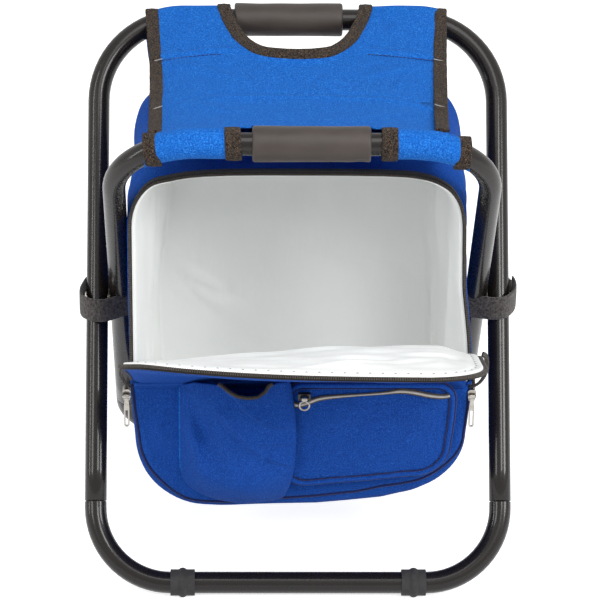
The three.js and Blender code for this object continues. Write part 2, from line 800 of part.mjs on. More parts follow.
// The rim half flares outwards below the flap's half, down to the sliders
const zipStops = archStops(hingeZ + flapTapeStart, bagTop, bagTopCorner);
const flareX = bagRimWidth / 2 + zipFlare;
const rimStops = [[-flareX, sliderTop + fitGap, 1, 0], ...zipStops, [flareX, sliderTop + fitGap, -1, 0]];
const rimTape = stripAlong(rimStops, tapeSection(rimTapeBack, rimTapeFront));
piece(outerFrame, "zip_rim_half", rimTape, "zip");

// Front panel below the flap, its white lining and the piping round it
const panelInset = tapeMiddle + teethWidth / 2 + fitGap;
const lowerBack = rimY - fitGap;
const lowerFront = lowerBack - lowerPanelThickness;
const lowerPanel = archSlab(hingeZ - fitGap, bagBottom, bagBottomCorner, [
  [panelInset, lowerBack],
  [panelInset, lowerFront + panelEdge],
  [panelInset + panelEdge * edgeShare, lowerFront],
]);
piece(outerFrame, "lower_front_panel", lowerPanel, "bag");
const lowerLiningInset = linerInset + linerThickness + fitGap;
const lowerLining = archSlab(hingeZ - fitGap, bagBottom, bagBottomCorner, [
  [lowerLiningInset, lowerBack + fitGap],
  [lowerLiningInset, lowerBack + fitGap + linerThickness],
]);
piece(outerFrame, "lower_front_lining", lowerLining, "liner");
const pipingTop = sliderZ - sliderHeight / 2 - fitGap;
const pipingBead = beadSection(
  pipingRadius,
  panelInset - fitGap - pipingRadius,
  lowerFront + panelEdge + pipingRadius,
);
const piping = stripAlong(archStops(pipingTop, bagBottom, bagBottomCorner), pipingBead);
piece(outerFrame, "front_piping", piping, "navy");

// Front flap, modelled shut and swung open about the fold at its foot
flap.position.set(0, flapFront, hingeZ);
flap.rotation.x = THREE.MathUtils.degToRad(flapOpenDegrees);
function flapPiece(name, geometry, look) {
  piece(flap, name, placed(geometry, along(0, -flapFront, -hingeZ)), look);
}
const flapBack = flapFront + flapThickness;
const flapPanel = archSlab(hingeZ + fitGap, bagTop, bagTopCorner, [
  [panelInset + panelEdge * edgeShare, flapFront],
  [panelInset, flapFront + panelEdge],
  [panelInset, flapBack],
]);
flapPiece("flap_panel", flapPanel, "bag");

// Padded lining of the flap: a crown that also stands up near the fold, most of all on its right side
const liningFoot = flapBack + fitGap;
function archHalf(z, inset) {
  const overCorner = Math.max(z - bagTop + bagTopCorner, 0);
  const reach = Math.sqrt(Math.max((bagTopCorner - inset) ** 2 - overCorner ** 2, 0));
  return bagRimWidth / 2 - bagTopCorner + reach;
}
const plump = (share) => 1 - share ** 6;
function liningRise(acrossShare, alongShare) {
  const crown = flapLiningBulge * plump(acrossShare) * plump(2 * alongShare - 1);
  const lean = THREE.MathUtils.smoothstep(acrossShare, liningLeanShares[0], liningLeanShares[1]);
  const hump = Math.sin(Math.PI * alongShare ** humpPower);
  return linerThickness + crown + flapCrestRise * lean * hump * plump(acrossShare);
}
function liningGrid(riseAt) {
  const [foot, head] = [hingeZ + flapLiningInset, bagTop - flapLiningInset];
  return liningRowShares.map((alongShare) => {
    const z = foot + (head - foot) * alongShare;
    return liningColumnShares.map((acrossShare) => {
      const x = archHalf(z, flapLiningInset) * acrossShare;
      return new THREE.Vector3(x, liningFoot + riseAt(acrossShare, alongShare), z);
    });
  });
}
flapPiece("flap_lining", sheetBetween(liningGrid(liningRise), liningGrid(() => 0)), "liner");
flapPiece("zip_flap_half", stripAlong(zipStops, tapeSection(flapFront, flapTapeBack)), "zip");

// Zip slider: two plates joined by a wedge, with posts and a pin in front for the pull
const knuckleRadius = bailWire + fitGap + bailWire;
const pinForward = knuckleRadius + fitGap;
function block(fromX, toX, fromY, toY, fromZ, toZ) {
  return boxBetween([fromX, fromY, fromZ], [toX, toY, toZ]);
}

function bail(frontY, halfWidth, atZ) {
  const pinY = frontY - pinForward;
  let posts = solid(rodAlongX(bailWire, -halfWidth, halfWidth, pinY, atZ, tubeSides));
  for (const side of [-1, 1]) {
    const near = side * (halfWidth - bailWire);
    const [low, high] = [Math.min(near, side * halfWidth), Math.max(near, side * halfWidth)];
    posts = posts.add(block(low, high, pinY - bailWire, frontY + bailWire, atZ - bailWire, atZ + bailWire));
  }
  return posts;
}

function zipSlider(parent, name, x, y, z) {
  const half = sliderWidth / 2;
  const plate = new THREE.Shape();
  plate.moveTo(-half * plateShare, -sliderHeight / 2);
  plate.lineTo(half * plateShare, -sliderHeight / 2);
  plate.lineTo(half, 0);
  plate.lineTo(half, sliderHeight / 2 - sliderPlate);
  plate.lineTo(half - sliderPlate, sliderHeight / 2);
  plate.lineTo(sliderPlate - half, sliderHeight / 2);
  plate.lineTo(-half, sliderHeight / 2 - sliderPlate);
  plate.lineTo(-half, 0);
  plate.closePath();
  const flat = new THREE.ExtrudeGeometry(plate, { depth: sliderPlate, bevelEnabled: false });
  flat.rotateX(Math.PI / 2);
  const front = -sliderDepth / 2;
  const body = solid(placed(flat, along(0, front + sliderPlate, 0)))
    .add(solid(placed(flat, along(0, -front, 0))))
    .add(block(-half * wedgeShare, half * wedgeShare, front, -front, 0, sliderHeight / 2))
    .add(bail(front, pullWidth / 2 + bailWire, 0));
  piece(parent, name, placed(geometryOf(body), along(x, y, z)), "steel");
}

// A knuckle on the bail pin that carries the pull
function knuckle(halfWidth) {
  return solid(rodAlongX(knuckleRadius, -halfWidth, halfWidth, 0, 0, tubeSides * 2)).subtract(
    solid(rodAlongX(bailWire + fitGap, -halfWidth * 2, halfWidth * 2, 0, 0, tubeSides * 2)),
  );
}

function tabPull(parent, name, x, y, z) {
  const half = pullWidth / 2 - fitGap;
  const tab = new THREE.Shape();
  tab.moveTo(-half * neckShare, -knuckleRadius * cornerShare);
  tab.lineTo(-half, -pullLength * pullShoulderShare);
  tab.lineTo(-half, -pullLength + half);
  tab.absarc(0, -pullLength + half, half, Math.PI, Math.PI * 2);
  tab.lineTo(half, -pullLength * pullShoulderShare);
  tab.lineTo(half * neckShare, -knuckleRadius * cornerShare);
  tab.closePath();
  const slot = new THREE.Path();
  const slotHalf = half * slotShare;
  slot.moveTo(-slotHalf, -pullLength * slotTopShare);
  slot.lineTo(-slotHalf, -pullLength + half);
  slot.absarc(0, -pullLength + half, slotHalf, Math.PI, Math.PI * 2);
  slot.lineTo(slotHalf, -pullLength * slotTopShare);
  slot.closePath();
  tab.holes.push(slot);
  const options = { depth: pullThickness, bevelEnabled: false, curveSegments: cornerSteps };
  const plate = new THREE.ExtrudeGeometry(tab, options);
  plate.rotateX(Math.PI / 2);
  plate.translate(0, pullThickness / 2, 0);
  const bore = solid(rodAlongX(bailWire + fitGap, -pullWidth, pullWidth, 0, 0, tubeSides * 2));
  const body = solid(plate).subtract(bore).add(knuckle(half));
  piece(parent, name, placed(geometryOf(body), along(x, y, z)), "steel");
}

function ringPull(parent, name, x, y, z) {
  const ring = new THREE.TorusGeometry(ringPullRadius, ringPullWire, cornerSteps, tubeSides * 2);
  ring.rotateX(Math.PI / 2);
  ring.translate(0, 0, -ringPullRadius - knuckleRadius);
  const body = solid(ring).add(knuckle(pullWidth / 2 - fitGap));
  piece(parent, name, placed(geometryOf(body), along(x, y, z)), "steel");
}

const sliderY = (rimTapeBack + flapFront) / 2;
for (const [side, label] of [[-1, "left"], [1, "right"]]) {
  const x = (side * sliderSpread) / 2;
  zipSlider(outerFrame, "zip_slider_" + label, x, sliderY, sliderZ);
  tabPull(outerFrame, "zip_pull_" + label, x, sliderY - sliderDepth / 2 - pinForward, sliderZ);
}

// Bottle pocket: a cloth wall bowed out from the lower panel, closed in at its foot, with a dark mouth trim
const pocketBack = lowerFront - fitGap;
const bottleMiddle = (bottleLeft + bottleRight) / 2;
const bottleHalf = (bottleRight - bottleLeft) / 2;

function bowedWall(levels, thickness) {
  const steps = cornerSteps * 2;
  const section = [];
  const rings = levels.map(([z, narrowing, flattening]) => {
    const ring = [];
    for (const [face, wall] of [[1, 0], [-1, thickness]]) {
      const half = (bottleHalf + thickness / 2) * narrowing - wall;
      const depth = Math.max((bottleDepth + thickness / 2) * flattening - wall, fitGap);
      for (let i = 0; i <= steps; i += 1) {
        const swing = (Math.PI * (face > 0 ? i : steps - i)) / steps;
        const out = depth * Math.sin(swing) ** bowPower;
        const x = bottleMiddle - half * Math.cos(swing);
        ring.push(new THREE.Vector3(x, pocketBack - out, z + (mouthRise * out * flattening) / bottleDepth));
      }
    }
    return ring;
  });
  section.push(...rings[0].map((point) => [point.x, point.y]));
  return skin(rings, section);
}

const footLevels = bottleFootShares.map((rise) => {
  const turn = rise * quarterTurn;
  const z = bottleBottom + bottleRounding * (1 - Math.cos(turn));
  const narrowing = footNarrowShare + (1 - footNarrowShare) * Math.sin(turn);
  return [z, narrowing, footFlatShare + (1 - footFlatShare) * Math.sin(turn)];
});
const bottleWall = bowedWall([...footLevels, [bottleTop, 1, 1]], pocketCloth);
piece(outerFrame, "bottle_pocket", bottleWall, "bag");
const trimFoot = bottleTop + fitGap;
const bottleTrim = bowedWall([[trimFoot, 1, 1], [trimFoot + trimHeight, 1, 1]], trimThickness);
piece(outerFrame, "bottle_pocket_trim", bottleTrim, "navy");

// Zipped pocket: a shallow padded box with rounded corners whose top rises towards its front
function pocketOutline(inset, rise) {
  const radius = pocketCorner - inset;
  const points = [];
  const corners = [
    [pocketRight, 1, pocketBottom, -quarterTurn],
    [pocketRight, 1, pocketTop + rise, 0],
    [pocketLeft, -1, pocketTop + rise, quarterTurn],
    [pocketLeft, -1, pocketBottom, quarterTurn * 2],
  ];
  corners.forEach(([edge, sideX, level, start], index) => {
    const sideZ = index === 1 || index === 2 ? 1 : -1;
    for (let i = 0; i <= cornerSteps; i += 1) {
      const swing = start + (quarterTurn * i) / cornerSteps;
      const x = edge - sideX * pocketCorner + radius * Math.cos(swing);
      points.push([x, level - sideZ * pocketCorner + radius * Math.sin(swing)]);
    }
  });
  return points;
}
const pocketFront = pocketBack - pocketDepth;
const pocketRings = [
  ringAt(pocketOutline(0, 0), pocketBack),
  ringAt(pocketOutline(0, pocketRise), pocketFront + pocketShoulder),
  ringAt(pocketOutline(pocketShoulder, pocketRise), pocketFront),
  ringAt(pocketOutline(pocketCorner * edgeShare, pocketRise), pocketFront - pocketCrown),
];
piece(outerFrame, "zip_pocket", skin(pocketRings, pocketOutline(0, 0)), "bag");

// Piping round the pocket face
const pipingY = pocketFront - pipingRadius * cornerShare;
const pipingInset = pocketShoulder * cornerShare - pipingRadius * cornerShare;
const pipingRings = pocketOutline(pipingInset, pocketRise).map(([x, z], index, all) => {
  const [beforeX, beforeZ] = all[(index + all.length - 1) % all.length];
  const [afterX, afterZ] = all[(index + 1) % all.length];
  const way = new THREE.Vector2(afterX - beforeX, afterZ - beforeZ).normalize();
  return beadSection(pipingRadius, 0, 0).map(
    ([out, ahead]) => new THREE.Vector3(x + way.y * out, pipingY + ahead, z - way.x * out),
  );
});
piece(outerFrame, "zip_pocket_piping", skin(pipingRings, [], true), "navy");

// The pocket's zip: tape across the top of its face, a reflective strip and a chain that the slider rides
const stripBack = pocketFront - pocketCrown - fitGap;
const stripTop = pocketTop + pocketRise - zipStripMargin;
function faceStrip(low, high, backY, thickness) {
  const half = (high - low) / 2;
  const [left, right] = [pocketLeft + zipStripEnd + half, pocketRight - zipStripEnd - half];
  const shape = new THREE.Shape();
  shape.moveTo(left, -half);
  shape.lineTo(right, -half);
  shape.absarc(right, 0, half, -quarterTurn, quarterTurn);
  shape.lineTo(left, half);
  shape.absarc(left, 0, half, quarterTurn, quarterTurn * 3);
  const options = { depth: thickness, bevelEnabled: false, curveSegments: cornerSteps };
  const strip = new THREE.ExtrudeGeometry(shape, options);
  strip.rotateX(Math.PI / 2);
  strip.translate(0, backY, (low + high) / 2);
  return strip;
}
const stripFoot = stripTop - zipStripHeight;
piece(outerFrame, "zip_pocket_tape", faceStrip(stripFoot, stripTop, stripBack, zipStripThickness), "zip");
const tapeFace = stripBack - zipStripThickness - fitGap;
const reflectorFoot = stripFoot + reflectorMargin;
const reflector = faceStrip(reflectorFoot, reflectorFoot + reflectorHeight, tapeFace, reflectorThickness);
piece(outerFrame, "reflective_strip", reflector, "reflector");
const chainY = tapeFace - chainRadius;
const chainZ = stripTop - chainRadius - reflectorMargin;
const chainLeft = pocketLeft + zipStripEnd + reflectorMargin;
const chainRight = pocketRight - zipStripEnd - reflectorMargin;
const chain = rodAlongX(chainRadius, chainLeft, chainRight, chainY, chainZ, tubeSides);
piece(outerFrame, "zip_pocket_chain", chain, "zip");

const channel = chainRadius + fitGap;
const saddle = channel + sliderPlate;
const saddleX = chainLeft + sliderHeight / 2;
const saddleFront = chainY - saddle;
const saddleHalf = sliderHeight / 2;
const [roomFoot, roomTop] = [chainZ - channel, chainZ + channel];
const roomBack = tapeFace + saddle;
const saddleRoom = block(-sliderHeight, sliderHeight, chainY - channel, roomBack, roomFoot, roomTop);
const saddleBody = block(-saddleHalf, saddleHalf, saddleFront, tapeFace, chainZ - saddle, chainZ + saddle)
  .subtract(saddleRoom)
  .add(bail(saddleFront, pullWidth / 2 + bailWire, chainZ));
piece(outerFrame, "zip_pocket_slider", placed(geometryOf(saddleBody), along(saddleX, 0, 0)), "steel");
ringPull(outerFrame, "zip_pocket_ring_pull", saddleX, saddleFront - pinForward, chainZ);

// Side straps: a strip that is held against the bag and goes round both tubes, its two ends lapped outside
const strapInnerX = bagWaistWidth / 2 + fitGap + strapThickness / 2;
const strapOuterX = rivetOuter + rivetHeadHeight + fitGap + strapThickness / 2;
const strapLapX = strapOuterX + strapThickness + fitGap;
const strapBend = strapReach * strapBendShare;
const strapLine = new THREE.Path();
strapLine.moveTo(strapLapX + strapThickness, strapReach);
strapLine.lineTo(strapLapX, strapBend);
strapLine.lineTo(strapLapX, -strapBend);
strapLine.quadraticCurveTo(strapLapX, -strapReach, strapLapX - strapBend, -strapReach);
strapLine.lineTo(strapInnerX + strapBend, -strapReach);
strapLine.quadraticCurveTo(strapInnerX, -strapReach, strapInnerX, -strapBend);
strapLine.lineTo(strapInnerX, strapBend);
strapLine.quadraticCurveTo(strapInnerX, strapReach, strapInnerX + strapBend, strapReach);
strapLine.lineTo(strapOuterX - strapBend, strapReach);
strapLine.quadraticCurveTo(strapOuterX, strapReach, strapOuterX, strapBend);
strapLine.lineTo(strapOuterX, -strapBend * cornerShare);

function strapShape() {
  const middle = strapLine.getPoints(cornerSteps);
  const edges = [1, -1].map((side) =>
    middle.map((point, i) => {
      const before = middle[Math.max(0, i - 1)];
      const after = middle[Math.min(middle.length - 1, i + 1)];
      const way = after.clone().sub(before).normalize();
      const lift = (side * strapThickness) / 2;
      return new THREE.Vector2(point.x - way.y * lift, point.y + way.x * lift);
    }),
  );
  return new THREE.Shape([...edges[0], ...edges[1].reverse()]);
}

for (const [side, label] of [[-1, "left"], [1, "right"]]) {
  const strap = new THREE.ExtrudeGeometry(strapShape(), { depth: strapWidth, bevelEnabled: false });
  strap.translate(0, 0, -strapWidth / 2);
  strap.applyMatrix4(new THREE.Matrix4().makeScale(side, 1, 1));
  piece(outerFrame, "side_strap_" + label, strap, "binding");
}

// The stool stands on the floor, centred on its box
stool.position.z = -floorZ;
stool.updateMatrixWorld(true);
const box = new THREE.Box3().setFromObject(stool, true);
stool.position.x = -(box.min.x + box.max.x) / 2;
stool.position.y = -(box.min.y + box.max.y) / 2;
stool.updateMatrixWorld(true);

export default stool;
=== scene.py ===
"""Looks of the folding cooler stool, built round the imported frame.

Shapes are worked out in millimetres from the pivot line (X right, Y to the rear, Z up) and moved into the
frame of the solids as they are made.
"""

import math

import bmesh
import bpy
import numpy as np
from mathutils import Matrix, Vector, noise


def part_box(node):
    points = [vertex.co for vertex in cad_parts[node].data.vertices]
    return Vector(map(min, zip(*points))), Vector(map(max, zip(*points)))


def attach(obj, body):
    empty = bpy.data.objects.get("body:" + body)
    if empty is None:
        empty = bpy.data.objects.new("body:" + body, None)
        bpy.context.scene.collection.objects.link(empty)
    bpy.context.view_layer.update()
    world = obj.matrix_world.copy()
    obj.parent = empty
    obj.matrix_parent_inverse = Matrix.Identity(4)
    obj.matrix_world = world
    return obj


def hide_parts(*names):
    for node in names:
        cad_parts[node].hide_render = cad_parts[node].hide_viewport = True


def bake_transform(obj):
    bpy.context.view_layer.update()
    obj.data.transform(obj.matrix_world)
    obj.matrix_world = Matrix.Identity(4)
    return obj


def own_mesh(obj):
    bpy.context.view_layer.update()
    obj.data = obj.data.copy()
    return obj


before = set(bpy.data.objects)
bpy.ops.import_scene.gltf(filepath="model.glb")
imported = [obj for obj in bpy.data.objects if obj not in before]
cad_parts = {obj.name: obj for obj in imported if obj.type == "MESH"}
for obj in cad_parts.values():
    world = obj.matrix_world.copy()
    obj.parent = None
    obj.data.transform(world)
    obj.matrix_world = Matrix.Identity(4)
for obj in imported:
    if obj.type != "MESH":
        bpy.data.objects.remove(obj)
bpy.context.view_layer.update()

MM = 0.001
washer_low, washer_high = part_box("pivot_washer_left")
PIVOT = np.array([0.0, (washer_low[1] + washer_high[1]) / 2, (washer_low[2] + washer_high[2]) / 2])

# Sizes shared with the frame, in millimetres
TUBE = 9.0
FULL_TURN = 2 * math.pi
OUTER_HALF = 167.0
INNER_HALF = 147.7
BAR = 236.4
LEAN = math.radians(33.75)
BAR_Y = BAR * math.sin(LEAN)
BAR_Z = BAR * math.cos(LEAN)
OUTER_BENDS = (70.0, 62.0)
INNER_BENDS = (66.0, 58.0)
BAG_TOP = 152.0
BAG_BOTTOM = -144.0
TOP_CORNER = 50.0
BOTTOM_CORNER = 55.0
RIM_HALF = 138.3
HINGE = np.array([-94.0, -32.0])
FLAP_LENGTH = 184.0
BAG_MIDDLE = np.array([0, 0, (BAG_TOP + BAG_BOTTOM) / 2])
RIM_ZIP_FOOT = -37.5
RIM_TEETH_Y = -84.9
LOWER_FRONT_TOP = -32.3
POCKET_BACK = -91.3
POCKET_LEFT, POCKET_RIGHT = -11.0, 123.0
POCKET_LOW, POCKET_HIGH = -116.0, -25.5
POCKET_FACE = -106.3

# The photograph's camera, in pixels of a picture 600 wide, in degrees and in metres
PICTURE = 600
FOCAL = 3072.3
CENTRE = (298.04, 297.77)
YAW, PITCH, ROLL = math.radians(-1.366), math.radians(26.339), -0.013
CAMERA_AWAY = 2.56024
SKY_STRENGTH = 0.36


# helpers for numbers and meshes
def unit(v):
    v = np.asarray(v, float)
    return v / np.maximum(np.linalg.norm(v, axis=-1, keepdims=True), 1e-12)


def smooth(t):
    t = np.clip(t, 0, 1)
    return t * t * (3 - 2 * t)


def ramp(value, start, end):
    return smooth((np.asarray(value, float) - start) / (end - start))


def bump(value, centre, width):
    return np.exp(-(((np.asarray(value, float) - centre) / width) ** 2))


def rough(points, size, amount, seed=0.0):
    """Smooth noise at each point, with features of that size in millimetres."""
    flat = np.asarray(points, float).reshape(-1, 3)
    out = [
        noise.noise(Vector((p[0] / size + seed, p[1] / size - seed, p[2] / size + seed * 0.7)))
        for p in flat
    ]
    return np.array(out).reshape(np.asarray(points).shape[:-1]) * amount


def grid_faces(rows, columns, loop_rows=False, loop_columns=False):
    faces = []
    for i in range(rows if loop_rows else rows - 1):
        for j in range(columns if loop_columns else columns - 1):
            a, b = i * columns, (i + 1) % rows * columns
            k = (j + 1) % columns
            faces.append((a + j, a + k, b + k, b + j))
    return faces


def add_object(name, points, faces, look, sharp=None):
    mesh = bpy.data.meshes.new(name)
    mesh.from_pydata((np.asarray(points, float).reshape(-1, 3) * MM + PIVOT).tolist(), [], faces)
    obj = bpy.data.objects.new(name, mesh)
    bpy.context.collection.objects.link(obj)
    mesh.materials.append(look)
    tidy_mesh(obj, sharp)
    return obj


def tidy_mesh(obj, sharp=None):
    mesh = obj.data
    work = bmesh.new()
    work.from_mesh(mesh)
    bmesh.ops.remove_doubles(work, verts=work.verts, dist=2e-6)
    bmesh.ops.delete(work, geom=[v for v in work.verts if not v.link_faces], context="VERTS")
    bmesh.ops.recalc_face_normals(work, faces=work.faces)
    work.to_mesh(mesh)
    work.free()
    mesh.polygons.foreach_set("use_smooth", [True] * len(mesh.polygons))
    if sharp:
        mesh.set_sharp_from_angle(angle=math.radians(sharp))


def bake_modifiers(obj):
    graph = bpy.context.evaluated_depsgraph_get()
    done = bpy.data.meshes.new_from_object(obj.evaluated_get(graph))
    obj.modifiers.clear()
    obj.data = done
    done.name = obj.name


def thicken(obj, thickness, offset=0.0):
    solid = obj.modifiers.new("thickness", "SOLIDIFY")
    solid.thickness = thickness * MM
    solid.offset = offset
    bake_modifiers(obj)


def subdivide(obj, levels=1):
    finer = obj.modifiers.new("finer", "SUBSURF")
    finer.levels = finer.render_levels = levels
    bake_modifiers(obj)


def settle(obj, body, nodes=()):
    """The piece rides on its body and stands for its CAD nodes, which are hidden."""
    if body:
        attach(obj, body)
    if nodes:
        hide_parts(*nodes)
    return obj


def skin(rings, looped=False, capped=True):
    """Points and faces of a skin over matching closed rings."""
    rings = np.asarray(rings, float)
    count, size = rings.shape[:2]
    faces = grid_faces(count, size, looped, True)
    if capped and not looped:
        faces.append(tuple(range(size)))
        faces.append(tuple(range(count * size - 1, (count - 1) * size - 1, -1)))
    return rings.reshape(-1, 3), faces


def carried(path, section, up, closed=False):
    """Rings of a section of [side, rise] pairs carried along a path. The rise points along up."""
    path = np.asarray(path, float)
    ahead = np.roll(path, -1, 0) - np.roll(path, 1, 0) if closed else np.gradient(path, axis=0)
    way = unit(ahead)
    up = np.broadcast_to(np.asarray(up, float), path.shape)
    up = unit(up - (up * way).sum(1, keepdims=True) * way)
    side = np.cross(way, up)
    section = np.asarray(section, float)
    if section.ndim == 2:
        section = np.broadcast_to(section, (len(path),) + section.shape)
    return path[:, None] + section[..., :1] * side[:, None] + section[..., 1:] * up[:, None]


def last_cap(rings):
    """The face that closes the last of several rings."""
    count, size = rings.shape[:2]
    return tuple(range((count - 1) * size, count * size))


def upright(outline, y):
    """An outline of (x, z) points stood up at a depth y."""
    return np.stack([outline[:, 0], np.full(len(outline), float(y)), outline[:, 1]], 1)


def disc(radius, count):
    turn = np.linspace(0, FULL_TURN, count, endpoint=False)
    return np.stack([radius * np.cos(turn), radius * np.sin(turn)], 1)


def pill(width, thickness, count=16, power=0.45):
    """A flat section with rounded ends."""
    turn = np.linspace(0, FULL_TURN, count, endpoint=False)
    c, s = np.cos(turn), np.sin(turn)
    return np.stack(
        [width / 2 * np.sign(c) * np.abs(c) ** power, thickness / 2 * np.sign(s) * np.abs(s) ** 0.8], 1
    )


def resample(path, step):
    """The same path with points at an even distance."""
    path = np.asarray(path, float)
    run = np.concatenate([[0], np.cumsum(np.linalg.norm(np.diff(path, axis=0), axis=1))])
    keep = np.concatenate([[True], np.diff(run) > 1e-9])
    path, run = path[keep], run[keep]
    stops = np.linspace(0, run[-1], max(2, round(run[-1] / step) + 1))
    return np.stack([np.interp(stops, run, path[:, k]) for k in range(path.shape[1])], 1)


def rotated(points, angle):
    """Turned about the pivot line; a positive angle takes +Y towards +Z."""
    points = np.asarray(points, float)
    c, s = math.cos(angle), math.sin(angle)
    return np.stack(
        [
            points[..., 0], points[..., 1] * c - points[..., 2] * s,
            points[..., 1] * s + points[..., 2] * c
        ],
        -1
    )


def rounded_line(points, rounds=3):
    """The same open line with its corners cut off."""
    points = np.asarray(points, float)
    for _ in range(rounds):
        a, b = points[:-1], points[1:]
        cut = np.stack([0.75 * a + 0.25 * b, 0.25 * a + 0.75 * b], 1).reshape(-1, points.shape[1])
        points = np.concatenate([points[:1], cut, points[-1:]])
    return points


def from_line(x, z, line):
    """Signed distance of places from a plane line, positive to the left of its way, and how far along
    it they lie."""
    x, z = np.asarray(x, float), np.asarray(z, float)
    best, signed, share = np.full(x.shape, 1e9), np.zeros(x.shape), np.zeros(x.shape)
    line = np.asarray(line, float)
    runs = np.concatenate([[0], np.cumsum(np.linalg.norm(np.diff(line, axis=0), axis=1))])
    for (ax, az), (bx, bz), run in zip(line[:-1], line[1:], runs):
        dx, dz = bx - ax, bz - az
        length = math.hypot(dx, dz)
        u = np.clip(((x - ax) * dx + (z - az) * dz) / length**2, 0, 1)
        away = np.hypot(x - ax - u * dx, z - az - u * dz)
        side = np.sign(dx * (z - az) - dz * (x - ax))
        near = away < best
        best = np.where(near, away, best)
        signed = np.where(near, away * side, signed)
        share = np.where(near, (run + u * length) / runs[-1], share)
    return signed, share


# materials
class NodeTree:
    """Short helpers for the nodes of a material or of the world."""

    def __init__(self, tree):
        self.tree = tree
        tree.nodes.clear()

    def node(self, kind, inputs=None, **settings):
        made = self.tree.nodes.new(kind)
        for key, value in settings.items():
            setattr(made, key, value)
        for key, value in (inputs or {}).items():
            if isinstance(value, bpy.types.NodeSocket):
                self.tree.links.new(value, made.inputs[key])
            else:
                made.inputs[key].default_value = value
        return made

    def math(self, operation, a, b=0.0):
        return self.node("ShaderNodeMath", {0: a, 1: b}, operation=operation).outputs[0]


class Look(NodeTree):
    """A node material round one Principled shader."""

    def __init__(self, name, **values):
        self.material = bpy.data.materials.new(name)
        self.material.use_nodes = True
        super().__init__(self.material.node_tree)
        output = self.tree.nodes.new("ShaderNodeOutputMaterial")
        self.shader = self.tree.nodes.new("ShaderNodeBsdfPrincipled")
        self.tree.links.new(self.shader.outputs[0], output.inputs[0])
        for key, value in values.items():
            self.shader.inputs[key.replace("_", " ")].default_value = value
        self.place = self.node("ShaderNodeTexCoord").outputs["Object"]

    def noise(self, size, detail=3.0, roughness=0.55, place=None):
        """Noise whose features have that size in millimetres."""
        inputs = {
            "Vector": place or self.place, "Scale": 1 / (size * MM), "Detail": detail,
            "Roughness": roughness
        }
        return self.node("ShaderNodeTexNoise", inputs).outputs["Fac"]

    def contrast(self, factor, start, end):
        """0 below start, 1 above end."""
        return self.node(
            "ShaderNodeMapRange", {"Value": factor, "From Min": start, "From Max": end}
        ).outputs[0]

    def between(self, factor, low, high):
        """Maps 0-1 to low-high."""
        return self.node(
            "ShaderNodeMapRange", {"Value": factor, "To Min": low, "To Max": high}
        ).outputs[0]

    def mix(self, factor, a, b):
        made = self.node("ShaderNodeMix", {0: factor}, data_type="RGBA")
        for index, value in ((6, a), (7, b)):
            if isinstance(value, bpy.types.NodeSocket):
                self.tree.links.new(value, made.inputs[index])
            else:
                made.inputs[index].default_value = value
        return made.outputs[2]

    def weave(self, pitch):
        """Height of a plain weave of that pitch in millimetres, whichever way the cloth faces."""
        parts = self.node("ShaderNodeSeparateXYZ", {0: self.place}).outputs
        waves = [
            self.math("SINE", self.math("MULTIPLY", part, 2 * math.pi / (pitch * MM))) for part in parts
        ]
        products = [self.math("MULTIPLY", waves[i], waves[(i + 1) % 3]) for i in range(3)]
        return self.math("ADD", self.math("ADD", products[0], products[1]), products[2])

    def colour(self, socket):
        self.tree.links.new(socket, self.shader.inputs["Base Color"])

    def set(self, name, socket):
        self.tree.links.new(socket, self.shader.inputs[name])

    def relief(self, *heights):
        """Each height is (socket, distance in millimetres)."""
        normal = None
        for socket, distance in heights:
            inputs = {"Height": socket, "Distance": distance * MM, "Strength": 1.0}
            if normal:
                inputs["Normal"] = normal
            normal = self.node("ShaderNodeBump", inputs).outputs[0]
        self.set("Normal", normal)


def srgb(red, green, blue):
    def linear(value):
        value /= 255
        return value / 12.92 if value <= 0.04045 else ((value + 0.055) / 1.055) ** 2.4

    return (linear(red), linear(green), linear(blue), 1.0)


def cloth_look(name, dark, base, light, pitch=1.3, sheen=0.12, roughness=0.85, depth=0.1, soft=0.25):
    """Woven polyester: mottled yarns, large blotches of uneven dye and painted wrinkle shade, and a
    little sheen.
    """
    look = Look(
        name, Roughness=roughness, Sheen_Weight=sheen, Sheen_Roughness=0.4, Specular_IOR_Level=0.2
    )
    look.shader.inputs["Sheen Tint"].default_value = light
    weave = look.weave(pitch)
    speck = look.noise(pitch * 0.85, 2.0, 0.6)
    cloud = look.noise(38, 3.0)
    yarns = look.mix(look.contrast(speck, 0.34, 0.49), dark, base)
    yarns = look.mix(look.contrast(speck, 0.52, 0.68), yarns, light)
    # large blotches: uneven dye together with painted shade of soft wrinkles
    dye_and_painted_shade = look.mix(look.between(cloud, -0.1, 0.35), yarns, base)
    look.colour(look.mix(look.between(weave, 0.0, 0.12), dye_and_painted_shade, light))
    look.relief((look.noise(60, 3.0), soft * 3), (weave, depth), (speck, depth * 1.5))
    return look.material


def mottled_look(name, dark, light, cloud, relief, rough_range=None, rough_noise=None, **values):
    """A colour that drifts between two, with bumps given as (size, detail, height in millimetres)."""
    look = Look(name, **values)
    drift = look.noise(*cloud)
    look.colour(look.mix(drift, srgb(*dark), srgb(*light)))
    if rough_range:
        uneven = look.noise(*rough_noise) if rough_noise else drift
        look.set("Roughness", look.between(uneven, *rough_range))
    look.relief(*((look.noise(size, detail), height) for size, detail, height in relief))
    return look.material


def binding_look():
    """Brown-black edging tape with a coarse weave and painted glints as orange-brown specks."""
    look = Look(
        "edging_tape", Roughness=0.95, Sheen_Weight=0.05, Sheen_Roughness=0.5, Specular_IOR_Level=0.12
    )
    weave = look.weave(1.7)
    speck = look.noise(1.5, 2.0, 0.7)
    painted_glint = look.noise(
        1.1, 1.0, 0.5,
        look.node("ShaderNodeVectorMath", {0: look.place, 1: (0.3, 0.1, 0.2)}, operation="ADD").outputs[0]
    )
    tone = look.mix(look.contrast(speck, 0.38, 0.6), srgb(13, 11, 10), srgb(70, 61, 54))
    # painted glint: orange-brown specks where the fibres catch the light
    tone = look.mix(look.contrast(painted_glint, 0.6, 0.68), tone, srgb(112, 86, 64))
    look.colour(tone)
    look.relief((speck, 0.35), (weave, 0.25))
    return look.material


